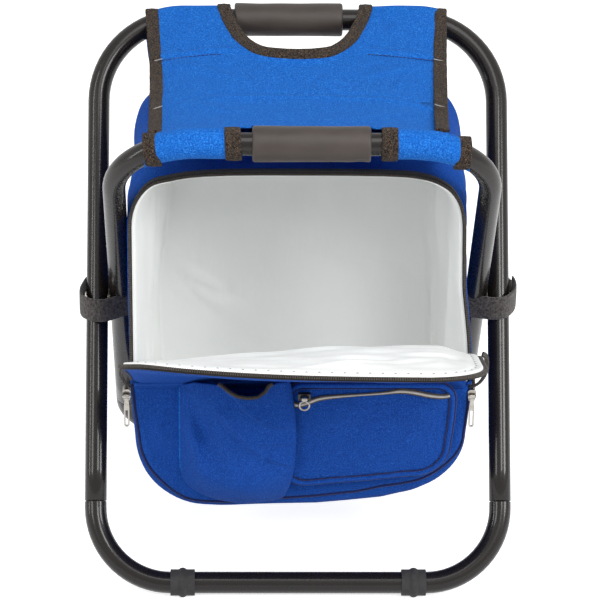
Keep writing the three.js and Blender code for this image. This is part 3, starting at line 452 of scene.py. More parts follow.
def strap_look():
    """Hook-and-loop webbing: matt, hairy and nearly black."""
    look = Look(
        "hook_and_loop", Roughness=1.0, Sheen_Weight=0.25, Sheen_Roughness=0.6, Specular_IOR_Level=0.15
    )
    hair = look.noise(2.0, 4.0, 0.75)
    look.colour(look.mix(look.contrast(hair, 0.38, 0.62), srgb(20, 18, 17), srgb(86, 80, 77)))
    look.relief((hair, 0.6), (look.noise(6, 2.0), 0.3))
    return look.material


def liner_look():
    """White plastic film over foam, softly creased."""
    look = Look(
        "liner_film", Roughness=0.42, Specular_IOR_Level=0.45, Coat_Weight=0.12, Coat_Roughness=0.3
    )
    look.shader.inputs["Subsurface Weight"].default_value = 0.05
    look.shader.inputs["Subsurface Radius"].default_value = (0.004, 0.004, 0.004)
    cloud = look.noise(45, 3.0)
    look.colour(look.mix(cloud, srgb(243, 245, 244), srgb(250, 251, 249)))
    look.set("Roughness", look.between(look.noise(12, 3.0), 0.34, 0.55))
    long_way = look.node(
        "ShaderNodeMapping", {"Vector": look.place, "Scale": (1.0, 1.0, 0.35)}
    ).outputs[0]
    look.relief((look.noise(40, 4.0, 0.5, long_way), 2.0), (look.noise(9, 3.0), 0.12))
    return look.material


def tape_look(name, dark, light):
    look = Look(name, Roughness=0.8, Sheen_Weight=0.15, Specular_IOR_Level=0.3)
    weave = look.weave(0.9)
    look.colour(look.mix(look.between(look.noise(1.5, 2.0), -0.1, 1.1), dark, light))
    look.relief((weave, 0.08))
    return look.material


BLUE_DARK, BLUE, BLUE_LIGHT = srgb(4, 66, 150), srgb(8, 94, 186), srgb(52, 136, 222)
LOOKS = {
    "seat": cloth_look("seat_cloth", BLUE_DARK, BLUE, BLUE_LIGHT, soft=0.5),
    # bag_cloth and pocket_cloth: the seat's blue set darker, painted shade for the bag's front, which
    # hangs under the seat and the flap
    "bag": cloth_look(
        "bag_cloth", srgb(8, 54, 132), srgb(13, 70, 158), srgb(34, 94, 186), pitch=1.1, soft=0.5
    ),
    "pocket": cloth_look(
        "pocket_cloth", srgb(8, 52, 128), srgb(13, 69, 156), srgb(36, 94, 184), pitch=1.2, depth=0.12,
        soft=0.4
    ),
    "binding": binding_look(),
    "navy": tape_look("navy_piping", srgb(5, 14, 56), srgb(14, 34, 100)),
    "zip": tape_look("zip_tape", srgb(9, 8, 8), srgb(36, 31, 28)),
    "trim": tape_look("pocket_trim", srgb(34, 29, 24), srgb(72, 62, 50)),
    "thread": tape_look("grey_thread", srgb(140, 140, 136), srgb(176, 176, 172)),
    "teeth": tape_look("zip_teeth", srgb(22, 20, 18), srgb(96, 88, 80)),
    "foam": mottled_look(
        "grip_foam", (42, 36, 32), (68, 60, 55), (25, 4.0), [(9, 3.0, 0.25), (0.8, 2.0, 0.05)],
        rough_range=(0.42, 0.6), Roughness=0.55, Specular_IOR_Level=0.35, Sheen_Weight=0.04
    ),
    "tube": mottled_look(
        "tube_enamel", (17, 14, 12), (30, 25, 22), (30, 4.0), [(1.8, 2.0, 0.0025), (40, 2.0, 0.02)],
        rough_range=(0.22, 0.34), rough_noise=(2.2, 3.0), Metallic=0.0, Roughness=0.26,
        Specular_IOR_Level=0.2, Coat_Weight=0.25, Coat_Roughness=0.03
    ),
    "steel": mottled_look(
        "bright_steel", (128, 124, 117), (184, 180, 174), (3.0, 3.0), [(0.6, 2.0, 0.02)],
        rough_range=(0.2, 0.42), Metallic=1.0, Roughness=0.28
    ),
    "dark_steel": mottled_look(
        "blackened_steel", (42, 39, 37), (78, 74, 70), (2.0, 3.0), [(0.6, 2.0, 0.02)],
        rough_range=(0.3, 0.5), Metallic=0.8, Roughness=0.4
    ),
    "rubber": mottled_look(
        "ribbed_rubber", (34, 33, 33), (58, 57, 57), (5, 3.0), [(0.9, 3.0, 0.09)],
        Roughness=0.75, Specular_IOR_Level=0.35
    ),
    "nylon": mottled_look(
        "nylon_washer", (28, 28, 29), (44, 43, 43), (2, 2.0), [(1.0, 2.0, 0.03)], Roughness=0.5
    ),
    "strap": strap_look(),
    "liner": liner_look(),
    "reflective": mottled_look(
        "reflective_tape", (132, 126, 118), (178, 172, 162), (7, 3.0), [(0.7, 2.0, 0.05)],
        Roughness=0.38, Metallic=0.35, Specular_IOR_Level=0.7
    ),
}


# camera, light and floor
def set_camera():
    back = Vector((math.sin(YAW) * math.cos(PITCH), -math.cos(YAW) * math.cos(PITCH), math.sin(PITCH)))
    right = Vector((math.cos(YAW), math.sin(YAW), 0))
    up = back.cross(right)
    turned_right = right * math.cos(ROLL) - up * math.sin(ROLL)
    turned_up = right * math.sin(ROLL) + up * math.cos(ROLL)
    data = bpy.data.cameras.new("camera")
    data.sensor_width = 36
    data.lens = FOCAL / PICTURE * 36
    data.shift_x = (PICTURE / 2 - CENTRE[0]) / PICTURE
    data.shift_y = (CENTRE[1] - PICTURE / 2) / PICTURE
    data.clip_end = 50
    camera = bpy.data.objects.new("camera", data)
    bpy.context.collection.objects.link(camera)
    place = Vector(PIVOT) + back * CAMERA_AWAY
    axes = Matrix((turned_right, turned_up, back)).transposed()
    camera.matrix_world = Matrix.Translation(place) @ axes.to_4x4()
    bpy.context.scene.camera = camera


def add_light(name, place, target, size, power):
    data = bpy.data.lights.new(name, "AREA")
    data.shape = "RECTANGLE"
    data.size, data.size_y = size
    data.energy = power
    lamp = bpy.data.objects.new(name, data)
    bpy.context.collection.objects.link(lamp)
    lamp.location = place
    lamp.rotation_mode = "QUATERNION"
    lamp.rotation_quaternion = (Vector(target) - Vector(place)).to_track_quat("-Z", "Y")


def seen_or_mirrored(tree):
    """1 for what the camera sees itself, in a gloss or through glass, 0 for what lights the object."""
    path = tree.node("ShaderNodeLightPath").outputs
    seen = tree.math("MAXIMUM", path["Is Camera Ray"], path["Is Glossy Ray"])
    return tree.math("MAXIMUM", seen, path["Is Transmission Ray"])


def set_stage():
    scene = bpy.context.scene
    scene.view_settings.view_transform = "Standard"
    world = bpy.data.worlds.new("studio")
    scene.world = world
    world.use_nodes = True
    sky = NodeTree(world.node_tree)
    white = (1, 1, 1, 1)
    lighting = sky.node("ShaderNodeBackground", {0: white, 1: SKY_STRENGTH}).outputs[0]
    shown = sky.node("ShaderNodeBackground", {0: white, 1: 1.0}).outputs[0]
    mixed = sky.node("ShaderNodeMixShader", {0: seen_or_mirrored(sky), 1: lighting, 2: shown}).outputs[0]
    sky.node("ShaderNodeOutputWorld", {0: mixed})

    floor_mesh = bpy.data.meshes.new("floor")
    reach = 6.0
    floor_mesh.from_pydata(
        [(-reach, -reach, 0), (reach, -reach, 0), (reach, reach, 0), (-reach, reach, 0)], [],
        [(0, 1, 2, 3)]
    )
    floor = bpy.data.objects.new("floor", floor_mesh)
    bpy.context.collection.objects.link(floor)
    look = Look("floor", Roughness=0.9, Specular_IOR_Level=0.1)
    grain = look.noise(400, 2.0)
    look.colour(look.mix(grain, (0.80, 0.80, 0.80, 1), (0.83, 0.83, 0.83, 1)))
    look.shader.inputs["Emission Color"].default_value = (1, 1, 1, 1)
    look.set("Emission Strength", look.math("MULTIPLY", seen_or_mirrored(look), 0.74))
    floor_mesh.materials.append(look.material)

    aim = (0, 0, 0.2)
    add_light("overhead_soft", (0.15, -0.75, 1.9), (0, 0, 0.22), (1.3, 1.0), 14)
    add_light("front_right", (2.3, -1.35, 1.35), aim, (0.8, 0.8), 32)
    add_light("front_high", (0.9, -1.9, 1.9), aim, (0.7, 0.7), 21)
    add_light("front_left", (-1.7, -1.7, 1.5), aim, (0.6, 0.8), 13)
    add_light("side_strip", (-1.5, -0.4, 0.9), aim, (0.12, 1.3), 7)


set_camera()
set_stage()


# tube loops
def u_path(half, leg_end, bar, bend, steps=18):
    way = math.copysign(1, bar - leg_end)
    left = [(-half, 0, z) for z in np.linspace(leg_end, bar - way * bend, 14)[:-1]]
    turn = [
        (-half + bend - bend * math.cos(a), 0, bar - way * bend * (1 - math.sin(a)))
        for a in np.linspace(0, math.pi / 2, steps)
    ]
    across = [(x, 0, bar) for x in np.linspace(-half + bend, half - bend, 10)[1:-1]]
    mirrored = [(-x, y, z) for x, y, z in (left + turn)[::-1]]
    return np.array(left + turn + across + mirrored)


def loop_half(name, body, half, leg_end, bar, bend, lean, node):
    path = u_path(half, leg_end, bar, bend)
    count = 36
    radii = np.full(len(path), TUBE)
    lip = unit(path[1] - path[0])
    front = [path[0] + lip * d for d in (0.0, 0.05, 0.5)]
    rear = [np.array([-p[0], p[1], p[2]]) for p in front[::-1]]
    path = np.concatenate([front, path[1:-1], rear])
    radii = np.concatenate(
        [[TUBE - 1.2, TUBE - 0.5, TUBE], np.full(len(path) - 6, TUBE), [TUBE, TUBE - 0.5, TUBE - 1.2]]
    )
    section = disc(1.0, count)[None] * radii[:, None, None]
    rings = carried(path, section, (0, 1, 0))
    obj = add_object(name, *skin(rotated(rings, lean)), LOOKS["tube"], sharp=50)
    settle(obj, body, [node])


for name, body, half, (top, bottom), lean in (
    ("outer", "outer_frame", OUTER_HALF, OUTER_BENDS, -LEAN),
    ("inner", "inner_frame", INNER_HALF, INNER_BENDS, LEAN),
):
    socket = -BAR + bottom + 5
    loop_half(f"{name}_tube_upper", body, half, socket, BAR, top, lean, f"{name}_loop_upper")
    loop_half(f"{name}_tube_lower", body, half, socket - 0.3, -BAR, bottom, lean, f"{name}_loop_lower")


# grips and feet
def lathe_rings(profile, count, shape=None):
    """Rings round the X axis; shape(x, angle, radius) may change each radius."""
    turn = np.linspace(0, FULL_TURN, count, endpoint=False)
    rings = []
    for x, radius in profile:
        radii = np.full(count, radius) if shape is None else shape(x, turn, radius)
        rings.append(np.stack([np.full(count, x), radii * np.cos(turn), radii * np.sin(turn)], 1))
    return np.array(rings)


def foam_grip(name, body, shift, y, node, nick):
    half, radius, bore, edge = 45.5, 14.0, 9.4, 2.0
    corner = [
        (edge * (1 - math.sin(a)), edge * (1 - math.cos(a))) for a in np.linspace(math.pi / 2, 0, 6)
    ]
    ends = [(-half + dx, radius - dr) for dx, dr in corner]
    middle = [(x, radius) for x in np.linspace(-half + edge, half - edge, 40)[1:-1]]
    profile = (
        [(-half + 0.3, bore)] + ends + middle + [(-x, r) for x, r in ends[::-1]] + [(half - 0.3, bore)]
    )

    def shape(x, turn, r):
        if r < radius - edge:
            return np.full(len(turn), r)
        soft = np.array(
            [noise.noise(Vector((x / 22 + shift, math.cos(a) * 1.3, math.sin(a) * 1.3))) for a in turn]
        )
        out = r + 0.35 * soft - 0.25 * bump(x, 0, 40)
        if nick:
            crease = bump(x, half - 7, 5) * sum(
                bump(np.cos(turn - c), 1, 0.012) for c in (3.9, 4.25, 4.6)
            )
            out = out - 0.9 * crease
        else:
            around = (x + half - 9) ** 2 + ((turn - 4.0) * radius) ** 2
            out = out - 0.5 * bump(np.sqrt(around), 4.5, 0.8)
        return out

    rings = lathe_rings(profile, 72, shape) + np.array([shift, y, BAR_Z])
    obj = add_object(name, *skin(rings), LOOKS["foam"], sharp=60)
    settle(obj, body, [node])


foam_grip("rear_foam_grip", "outer_frame", -8, BAR_Y, "rear_grip", False)
foam_grip("front_foam_grip", "inner_frame", 5.7, -BAR_Y, "front_grip", True)


def ribbed_foot(name, body, x, y, node):
    half, valley, crest = 10.0, 10.9, 12.3
    profile = [(-half, 9.3)]
    for s in np.linspace(-half, half, 49):
        rib = max(0.0, math.cos(math.pi * s / 6.2)) ** 0.7 if abs(s) < 9.3 else 0.0
        profile.append((s, valley + (crest - valley) * rib))
    profile.append((half, 9.3))
    rings = lathe_rings(profile, 40)
    rings[..., 2] = np.maximum(rings[..., 2], -11.2)
    obj = add_object(name, *skin(rings + np.array([x, y, -BAR_Z])), LOOKS["rubber"], sharp=45)
    settle(obj, body, [node])


for side, label in ((-1, "left"), (1, "right")):
    ribbed_foot(f"outer_rubber_{label}", "outer_frame", side * 95.0, -BAR_Y, f"outer_foot_{label}")
    ribbed_foot(f"inner_rubber_{label}", "inner_frame", side * 79.7, BAR_Y, f"inner_foot_{label}")


# seat cloth
SLEEVE = 11.3
SEAM_REAR, SEAM_FRONT = 50.0, -34.0
SAG = 15.6
TOP_STEPS = 130
WRAP_STEPS = 18
HEM_STEPS = 10
FRONT_SLEEVE = (-122.6, 128.0)
CUTOUT_SHIFT = -2.7
CUTOUT_HALF = 59.7
GRIP_GAP_X, GRIP_GAP_HALF = 5.5, 56.3
CUTOUT_SIDE = [
    (54.5, 131), (53, 122), (50.5, 111), (46.5, 98), (42.5, 86), (38.5, 77.5), (33, 68.5), (26.5, 60),
    (20.5, 55.5), (10, 51.8), (0, 50.8)
]
CUTOUT = resample(
    rounded_line(
        [(CUTOUT_SHIFT - x, y) for x, y in CUTOUT_SIDE]
        + [(CUTOUT_SHIFT + x, y) for x, y in CUTOUT_SIDE[-2::-1]]
    ),
    2.5
)


def bar_centre(x, half, bend, side):
    """Middle of a top bar at x; it turns down inside its bends. side is 1 at the rear and -1 at the
    front."""
    over = np.clip(np.abs(x) - (half - bend), 0, bend * 0.97)
    down = bend - np.sqrt(bend**2 - over**2)
    return side * (BAR_Y - down * math.sin(LEAN)), BAR_Z - down * math.cos(LEAN)


def seat_edges(y):
    """X of the seat's left and right edges."""
    left = np.interp(y, [-131, -74, 0, 48, 90, 131], [-119.9, -120.8, -121.7, -123.1, -125.9, -128.4])
    right = np.interp(y, [-131, -63, -17, 44, 84, 131], [111.6, 115.0, 117.4, 120.5, 122.7, 125.2])
    return left, right


def hem_line(x):
    """Y of the seam that closes the rear sleeves."""
    return SEAM_REAR + 6.5 * (1 - ramp(np.abs(np.asarray(x, float) - CUTOUT_SHIFT), 60, 105))


def seat_relief(x, y):
    """Seams and soft folds of the top of the seat, which lifts along the floor of its cut-out."""
    x, y = np.asarray(x, float), np.asarray(y, float)
    lift = -0.8 * bump(y, hem_line(x), 2.6) * ramp(np.abs(x), 48, 60)
    lift = lift + 1.1 * bump(y, hem_line(x) + 7, 5) * ramp(np.abs(x), 40, 60)
    ridge = np.interp(x, [-100, -84, -76, -18, 28, 64, 96, 108], [-48, -42, -34, -29, -32, -36, -48, -54])
    lift = (
        lift + 1.7 * bump(y, ridge, 5.0) * ramp(x, -100, -55)
        - 0.9 * bump(y, ridge + 10, 5.0) * ramp(x, -100, -55)
    )
    lift = lift + 1.2 * bump(y - 0.55 * (np.abs(x) - 60), 18, 7) * bump(np.abs(x), 74, 26)
    lift = (
        lift + 1.0 * bump(y + 0.4 * x, -86, 9) * bump(x, -60, 40)
        + 0.9 * bump(y - 0.3 * x, -96, 8) * bump(x, 50, 45)
    )
    away, share = from_line(x, y, CUTOUT)
    middle = bump(share, 0.5, 0.2)
    return lift + 4.6 * smooth(1 + np.minimum(away, 0) / 17) * middle


def top_height(x, y):
    """Height of the top of the seat without its folds."""
    rear, front = rear_centre(x), sleeve_centre(x)
    t = np.clip((rear[0] - 2.7 - y) / (rear[0] - front[0] - 5.4), 0, 1)
    return rear[1] + SLEEVE - 0.2 + (front[1] - rear[1]) * t - 4 * SAG * t * (1 - t)


def seat_column(share):
    """Points of one column of cloth from the rear hem seam, round the rear bar, over the seat and
    round the front bar to the front hem seam."""
    points = []

    def x_at(y):
        left, right = seat_edges(y)
        return left + 0.6 + (right - left - 1.2) * (share + 1) / 2

    def seam(y):
        return float(top_height(x_at(y), y) + seat_relief(x_at(y), y)) - 1.5

    front_x = FRONT_SLEEVE[0] + (FRONT_SLEEVE[1] - FRONT_SLEEVE[0]) * (share + 1) / 2
    rear = rear_centre(x_at(BAR_Y))
    front = sleeve_centre(front_x)
    wrap = math.radians(13.7)
    hem = math.radians(7.5)
    for s in np.linspace(0, 1, HEM_STEPS)[:-1]:
        start = np.array([SEAM_REAR, seam(SEAM_REAR)])
        end = np.array([rear[0] - SLEEVE * math.sin(hem), rear[1] - SLEEVE * math.cos(hem)])
        y, z = start + (end - start) * s
        points.append((x_at(y), y, z - 1.5 * math.sin(math.pi * s)))
    for a in np.linspace(-math.pi + hem, wrap, WRAP_STEPS):
        points.append((x_at(BAR_Y), rear[0] - SLEEVE * math.sin(a), rear[1] + SLEEVE * math.cos(a)))
    a_end, b_end = points[-1], (0, front[0] + SLEEVE * math.sin(wrap), front[1] + SLEEVE * math.cos(wrap))
    for t in np.linspace(0, 1, TOP_STEPS)[1:-1]:
        y = a_end[1] + (b_end[1] - a_end[1]) * t
        z = a_end[2] + (b_end[2] - a_end[2]) * t - 4 * SAG * t * (1 - t)
        wide = ramp(-y, 121, 127)
        points.append((x_at(y) * (1 - wide) + front_x * wide, y, z))
    for a in np.linspace(wrap, -math.pi + hem, WRAP_STEPS):
        points.append((front_x, front[0] + SLEEVE * math.sin(a), front[1] + SLEEVE * math.cos(a)))
    last = points[-1]
    for s in np.linspace(0, 1, HEM_STEPS)[1:]:
        y, z = last[1] + (SEAM_FRONT - last[1]) * s, last[2] + (seam(SEAM_FRONT) - last[2]) * s
        points.append(
            (front_x + (x_at(y) - front_x) * ramp(s, 0, 0.3), y, z - 1.5 * math.sin(math.pi * s))
        )
    return points


def sleeve_centre(x):
    """Middle of the front sleeves, which are too stiff to follow the bends all the way."""
    y, z = bar_centre(x, INNER_HALF, INNER_BENDS[0], -1)
    return -BAR_Y + (y + BAR_Y) * 0.85, BAR_Z + (z - BAR_Z) * 0.85


def rear_centre(x):
    """Middle of the rear sleeves; on the left they follow the bend, on the right they stay straighter."""
    y, z = bar_centre(x, OUTER_HALF, OUTER_BENDS[0], 1)
    share = 1 - 0.3 * ramp(x, 60, 120)
    return BAR_Y + (y - BAR_Y) * share, BAR_Z + (z - BAR_Z) * share


def seat_cloth():
    shares = np.linspace(-1, 1, 121)
    columns = np.array([seat_column(s) for s in shares])
    first = HEM_STEPS - 1 + WRAP_STEPS
    top = columns[:, first:first + TOP_STEPS - 2]
    top[..., 2] += seat_relief(top[..., 0], top[..., 1])
    columns[..., 2] += (
        rough(columns * [1, 1, 0], 48, 0.9, 3.1) + rough(columns * [1, 1, 0], 17, 0.35, 5.3)
    )
    count, size = columns.shape[:2]
    faces = []
    centres = (columns[:-1, :-1] + columns[1:, 1:]) / 2
    cut = from_line(centres[..., 0], centres[..., 1], CUTOUT)[0] > -4.5
    for face, centre, gone in zip(grid_faces(count, size), centres.reshape(-1, 3), cut.reshape(-1)):
        if gone and centre[1] > 45 and abs(centre[0] - CUTOUT_SHIFT) < 60:
            continue
        aside = abs(centre[0] - GRIP_GAP_X)
        if aside < GRIP_GAP_HALF and centre[1] < -BAR_Y + (15.5 if aside < 46.5 else 8.5):
            continue
        faces.append(face)
    obj = add_object("seat_sling", columns, faces, LOOKS["seat"])
    thicken(obj, 1.3)
    tidy_mesh(obj)
    return obj


sling = seat_cloth()
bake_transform(sling)
settle(
    sling, None,
    ["seat_panel", "rear_sleeve_left", "rear_sleeve_right", "front_sleeve_left", "front_sleeve_right"],
)


def seat_height(x, y):
    """Height of the top of the seat at a place."""
    return top_height(x, y) + seat_relief(x, y)


def around_bar(x, centre, way, start, end, radius, steps=14):
    """An arc round a top bar; angles run from the top, and way is 1 at the rear and -1 at the front."""
    return [
        (x, centre[0] - way * radius * math.sin(a), centre[1] + radius * math.cos(a))
        for a in np.linspace(start, end, steps)
    ]


def edging(name, path, ups, body, nodes, width=10.5, thickness=3.3, closed=False, step=2.2):
    """A folded tape carried along an edge, a little uneven, with a sewn line near its inner side."""
    stacked = np.concatenate([path, ups], 1)
    if not closed:
        stacked = resample(stacked, step)
    path, ups = stacked[:, :3], unit(stacked[:, 3:])
    flat = pill(width, thickness, 20)
    stitch = (
        1 - 0.22 * bump(flat[:, 0], width * 0.27, width * 0.05)
        - 0.22 * bump(flat[:, 0], -width * 0.27, width * 0.05)
    )
    flat = np.stack([flat[:, 0], flat[:, 1] * stitch], 1)
    swell = 1 + rough(path, 7, 0.12, 1.7)
    section = flat[None] * np.stack([1 + 0.4 * (swell - 1), swell], 1)[:, None]
    rings = carried(path, section, ups, closed)
    obj = add_object(name, *skin(rings, looped=closed), LOOKS["binding"])
    return settle(obj, body, nodes)


def side_binding(side, label):
    def xs(y):
        return float(seat_edges(y)[(side + 1) // 2]) - side * 5.5

    rear = rear_centre(side * 121)
    front = sleeve_centre(side * 118)
    arc = around_bar(xs(BAR_Y), rear, 1, -math.pi * 0.97, math.radians(13), SLEEVE + 0.5)
    ups = [(0, p[1] - rear[0], p[2] - rear[1]) for p in arc]
    path = list(arc)
    for y in np.linspace(rear[0] - 4, front[0] + 8, 60):
        path.append((xs(y), y, float(seat_height(xs(y), y)) + 0.4))
        ups.append((0, 0, 1))
    path, ups = np.array(path), unit(ups)
    obj = edging(f"seat_edge_{label}", path, ups, None, [], width=11.2, thickness=3.2)
    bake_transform(obj)
    return settle(obj, None, [f"side_binding_{label}", f"rear_sleeve_{label}_outer_edge"])


def cutout_binding():
    """Tape over the edge of the hand cut-out and round the rear bar on both sides; the cut-out's floor
    tips up."""
    centre = (BAR_Y, BAR_Z)
    way = unit(np.gradient(CUTOUT, axis=0))
    out = np.stack([way[:, 1], -way[:, 0]], 1)
    path, ups = [], []
    for p, n in zip(CUTOUT, out):
        if p[1] > BAR_Y - 6:
            continue
        tip = 0.1 + 0.54 * max(0.0, -n[1]) ** 2
        x, y = p + n * (5.2 - 1.6 * tip)
        path.append((x, y, float(seat_height(x, y)) + 0.5))
        ups.append((n[0] * tip, n[1] * tip, math.sqrt(1 - tip**2)))
    for index, x in ((0, CUTOUT_SHIFT - CUTOUT_HALF), (-1, CUTOUT_SHIFT + CUTOUT_HALF)):
        arc = around_bar(x, centre, 1, -math.pi * 0.95, math.radians(8), SLEEVE + 0.5)
        turned = [(0, p[1] - centre[0], p[2] - centre[1]) for p in arc]
        if index == 0:
            path, ups = arc + path, turned + ups
        else:
            path, ups = path + arc[::-1], ups + turned[::-1]
    obj = edging("hand_cutout_edge", np.array(path), unit(ups), None, [], width=11.2, thickness=3.3)
    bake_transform(obj)
    return settle(
        obj, None, ["cutout_binding", "rear_sleeve_left_inner_edge", "rear_sleeve_right_inner_edge"],
    )


def seat_stitches(name, xs, line, look):
    """A sewn line across the top of the seat."""
    path = np.array([(x, float(line(x)), float(seat_height(x, float(line(x)))) + 0.75) for x in xs])
    obj = teeth(name, path, (0, 1, 0), (0, 0, 1), None, [], pitch=3.3, size=(2.3, 0.8, 0.5), look=look)
    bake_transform(obj)
    return obj


edges = [side_binding(-1, "left"), side_binding(1, "right"), cutout_binding()]


def sleeve_ring(x, lean, label, end):
    """Tape round the front sleeve, nearly square to the bar."""
    centre = sleeve_centre(x)
    points, ups = [], []
    for a in np.linspace(0, FULL_TURN, 40, endpoint=False):
        spoke = np.array([math.copysign(lean, x) * math.cos(a), 12.0 * math.sin(a), 12.0 * math.cos(a)])
        points.append(np.array([x, centre[0], centre[1]]) + spoke)
        ups.append(spoke * [0, 1, 1])
    name, nodes = f"front_ring_{label}_{end}", [f"front_sleeve_{label}_{end}_edge"]
    return edging(
        name, np.array(points), unit(ups), "inner_frame", nodes, width=12.6, thickness=2.5, closed=True
    )


for x, lean, label, end in (
    (-116.7, 1.3, "left", "outer"), (-54.4, 0.6, "left", "inner"),
    (122.3, 0.5, "right", "outer"), (65.7, 0.0, "right", "inner"),
):
    edges.append(sleeve_ring(x, lean, label, end))


# bag
def bag_skew(points, kind="shell"):
    """How the soft bag hangs: its foot to the right and sagging, its lower right corner drawn up, its
    rim narrower high on the right."""
    points = np.array(points, float)
    x, y, z = points[..., 0].copy(), points[..., 1], points[..., 2].copy()
    low = ramp(-z, 25, 110)
    front = ramp(-y, -30, 80)
    if kind == "pocket":
        points[..., 0] = x + (1.6 - 3.6 * ramp(-z, 40, 100)) * ramp(x, 40, 123)
        lift = np.interp(x, [-15, 8, 30, 56, 88, 125], [-0.8, -1.4, 1.2, 3.2, 7.2, 8.5])
        points[..., 2] = z + lift * ramp(-z, 50, 116)
        return points
    right = np.interp(
        z, [-125, -80, -45, -25, -2, 17, 32, 47, 62, 91, 106, 125, 150],
        [0, 1.2, 2.6, 2.4, 1.0, -1.0, -2.9, -4.8, -5.4, -6.3, -6.7, -6.4, -6.0]
    )
    right = right * ramp(x, 60, 130)
    if kind == "panel":
        fall = np.interp(
            x, [-140, -120, -100, -80, -60, -30, 5, 45, 66, 90, 130],
            [4, 3, -1.4, -2.5, -3, 0.2, 2.5, 7.3, 12, 15.5, 15.5]
        )
        points[..., 0] = x + (5.0 - 7.5 * ramp(x, 20, 130)) * low + 1.6 * ramp(-x, 60, 120) * low + right
    else:
        fall = np.interp(
            x, [-140, -100, -70, -40, 10, 35, 67, 85, 105, 140],
            [-4, -6.5, -8.5, -7.7, -6.6, -4.2, -0.8, 3.5, 5.5, 4]
        )
        points[..., 0] = x + (5.0 - 7.5 * ramp(x, 20, 130)) * low * front + right * ramp(-y, 0, 72)
    corner = np.interp(
        x,
        [-138, -132, -125, -118, -110, -102, -91, -78, -57, -30, 30, 64, 82, 96, 107, 116, 124, 131, 138],
        [0.5, 1.5, 2.2, 1.3, -1.5, -3.1, -2.7, -1.3, -0.3, 0, 0, -0.4, -1.2, -2.3, -1.4, 0, 2.0, 2.2, 1.5]
    )
    points[..., 2] = z + fall * ramp(-z, 60, 135) * front + corner * ramp(z, 98, 122) * ramp(-y, 50, 78)
    return points


def closed_outline(points, long_side, count):
    """The outline closed, with count points along each side that is longer than long_side."""
    full = []
    for a, b in zip(points, points[1:] + points[:1]):
        a, b = np.array(a), np.array(b)
        steps = count if np.linalg.norm(b - a) > long_side else 1
        full += [a + (b - a) * s / steps for s in range(steps)]
    return np.array(full)


def bag_half_width(y):
    """Half width of the bag: full at its rim and rear, pressed in where the tubes cross."""
    return np.interp(y, [-80, -60, -40, -18, 18, 62, 78], [138.3, 138.0, 136.6, 132.8, 132.8, 137, 137])


def bag_outline(half, inset, corner_top, top):
    """Closed outline in the XZ plane from the middle of the foot, anticlockwise seen from the front,
    drawn in by an inset."""
    points = []
    spans = (
        (1, (BOTTOM_CORNER, BOTTOM_CORNER), BAG_BOTTOM, 1, -90),
        (1, corner_top, top, -1, 0),
        (-1, corner_top, top, -1, 90),
        (-1, (BOTTOM_CORNER, BOTTOM_CORNER), BAG_BOTTOM, 1, 180),
    )
    for side, (wide, high), level, up, start in spans:
        cx, cz = side * (half - wide), level + up * high
        for a in np.radians(np.linspace(start, start + 90, 14)):
            points.append((cx + (wide - inset) * math.cos(a), cz + (high - inset) * math.sin(a)))
    return closed_outline(points, 30, 30)


def bag_rings(stations, width=bag_half_width, squarer=False):
    """Rings of the bag outline at (y, inset) stations; the outside grows squarer and higher to the
    rear."""
    rings = []
    for y, inset in stations:
        corner, top = (TOP_CORNER, TOP_CORNER), BAG_TOP
        if squarer:
            corner = tuple(
                float(np.interp(y, [-80, -60, -30, 60], sizes))
                for sizes in ((50, 32, 22, 22), (50, 38, 34, 46))
            )
            top = float(np.interp(y, [-80, -30, 60], [BAG_TOP, 154, 158]))
        outline = bag_outline(float(width(y)), inset, corner, top)
        rings.append(upright(outline, y))
    return np.array(rings)


def cap_rings(ring, steps, bulge_y, power=2.0):
    """Rings that close an outline towards its middle, bulging by bulge_y."""
    middle = ring.mean(0)
    out = []
    for s in np.linspace(0, 1, steps + 1)[1:]:
        share = 1 - s
        row = middle + (ring - middle) * max(share, 0.004)
        row[:, 1] = ring[:, 1] + bulge_y * (1 - share**power)
        out.append(row)
    return out


def outer_bag():
    ys = np.concatenate([[-80, -79.2, -77], np.linspace(-74, 70, 50), [73, 75.5, 77.2, 78]])
    insets = np.interp(ys, [-80, -79.2, -77, 70, 73, 75.5, 77.2, 78], [1.6, 0.5, 0, 0, 0.6, 1.8, 4, 7])
    rings = bag_rings(zip(ys, insets), squarer=True)
    x, y, z = rings[..., 0], rings[..., 1], rings[..., 2]
    seam = bump(y, -64, 1.3) * 1.1 - bump(y, -60.5, 2.2) * 0.7 + bump(y, 69, 1.2) * 0.8
    spread = unit((rings - BAG_MIDDLE) * [1, 0, 1])
    soft = rough(rings, 55, 2.4, 7.3) + rough(rings, 22, 0.9, 2.2)
    free = ramp(np.abs(y), 20, 55) * 0.75 + 0.25
    inward = np.minimum(soft * free, 0.6) - seam
    top_sag = -3.0 * bump(x, 0, 70) * ramp(z, 130, 150) * bump(y, 5, 45)
    rings = rings + spread * inward[..., None]
    rings[..., 2] += top_sag
    back = cap_rings(rings[-1], 26, 4.5)
    back = [
        row + np.stack([np.zeros(len(row)), rough(row, 60, 1.6, 4.4), np.zeros(len(row))], 1)
        for row in back
    ]
    rings = bag_skew(np.concatenate([rings, back]))
    points, faces = skin(rings, capped=False)
    faces.append(last_cap(rings))
    obj = add_object("bag_outer", points, faces, LOOKS["bag"])
    thicken(obj, 1.6, -1.0)
    tidy_mesh(obj)
    settle(obj, "outer_frame", ["bag_shell"])


outer_bag()


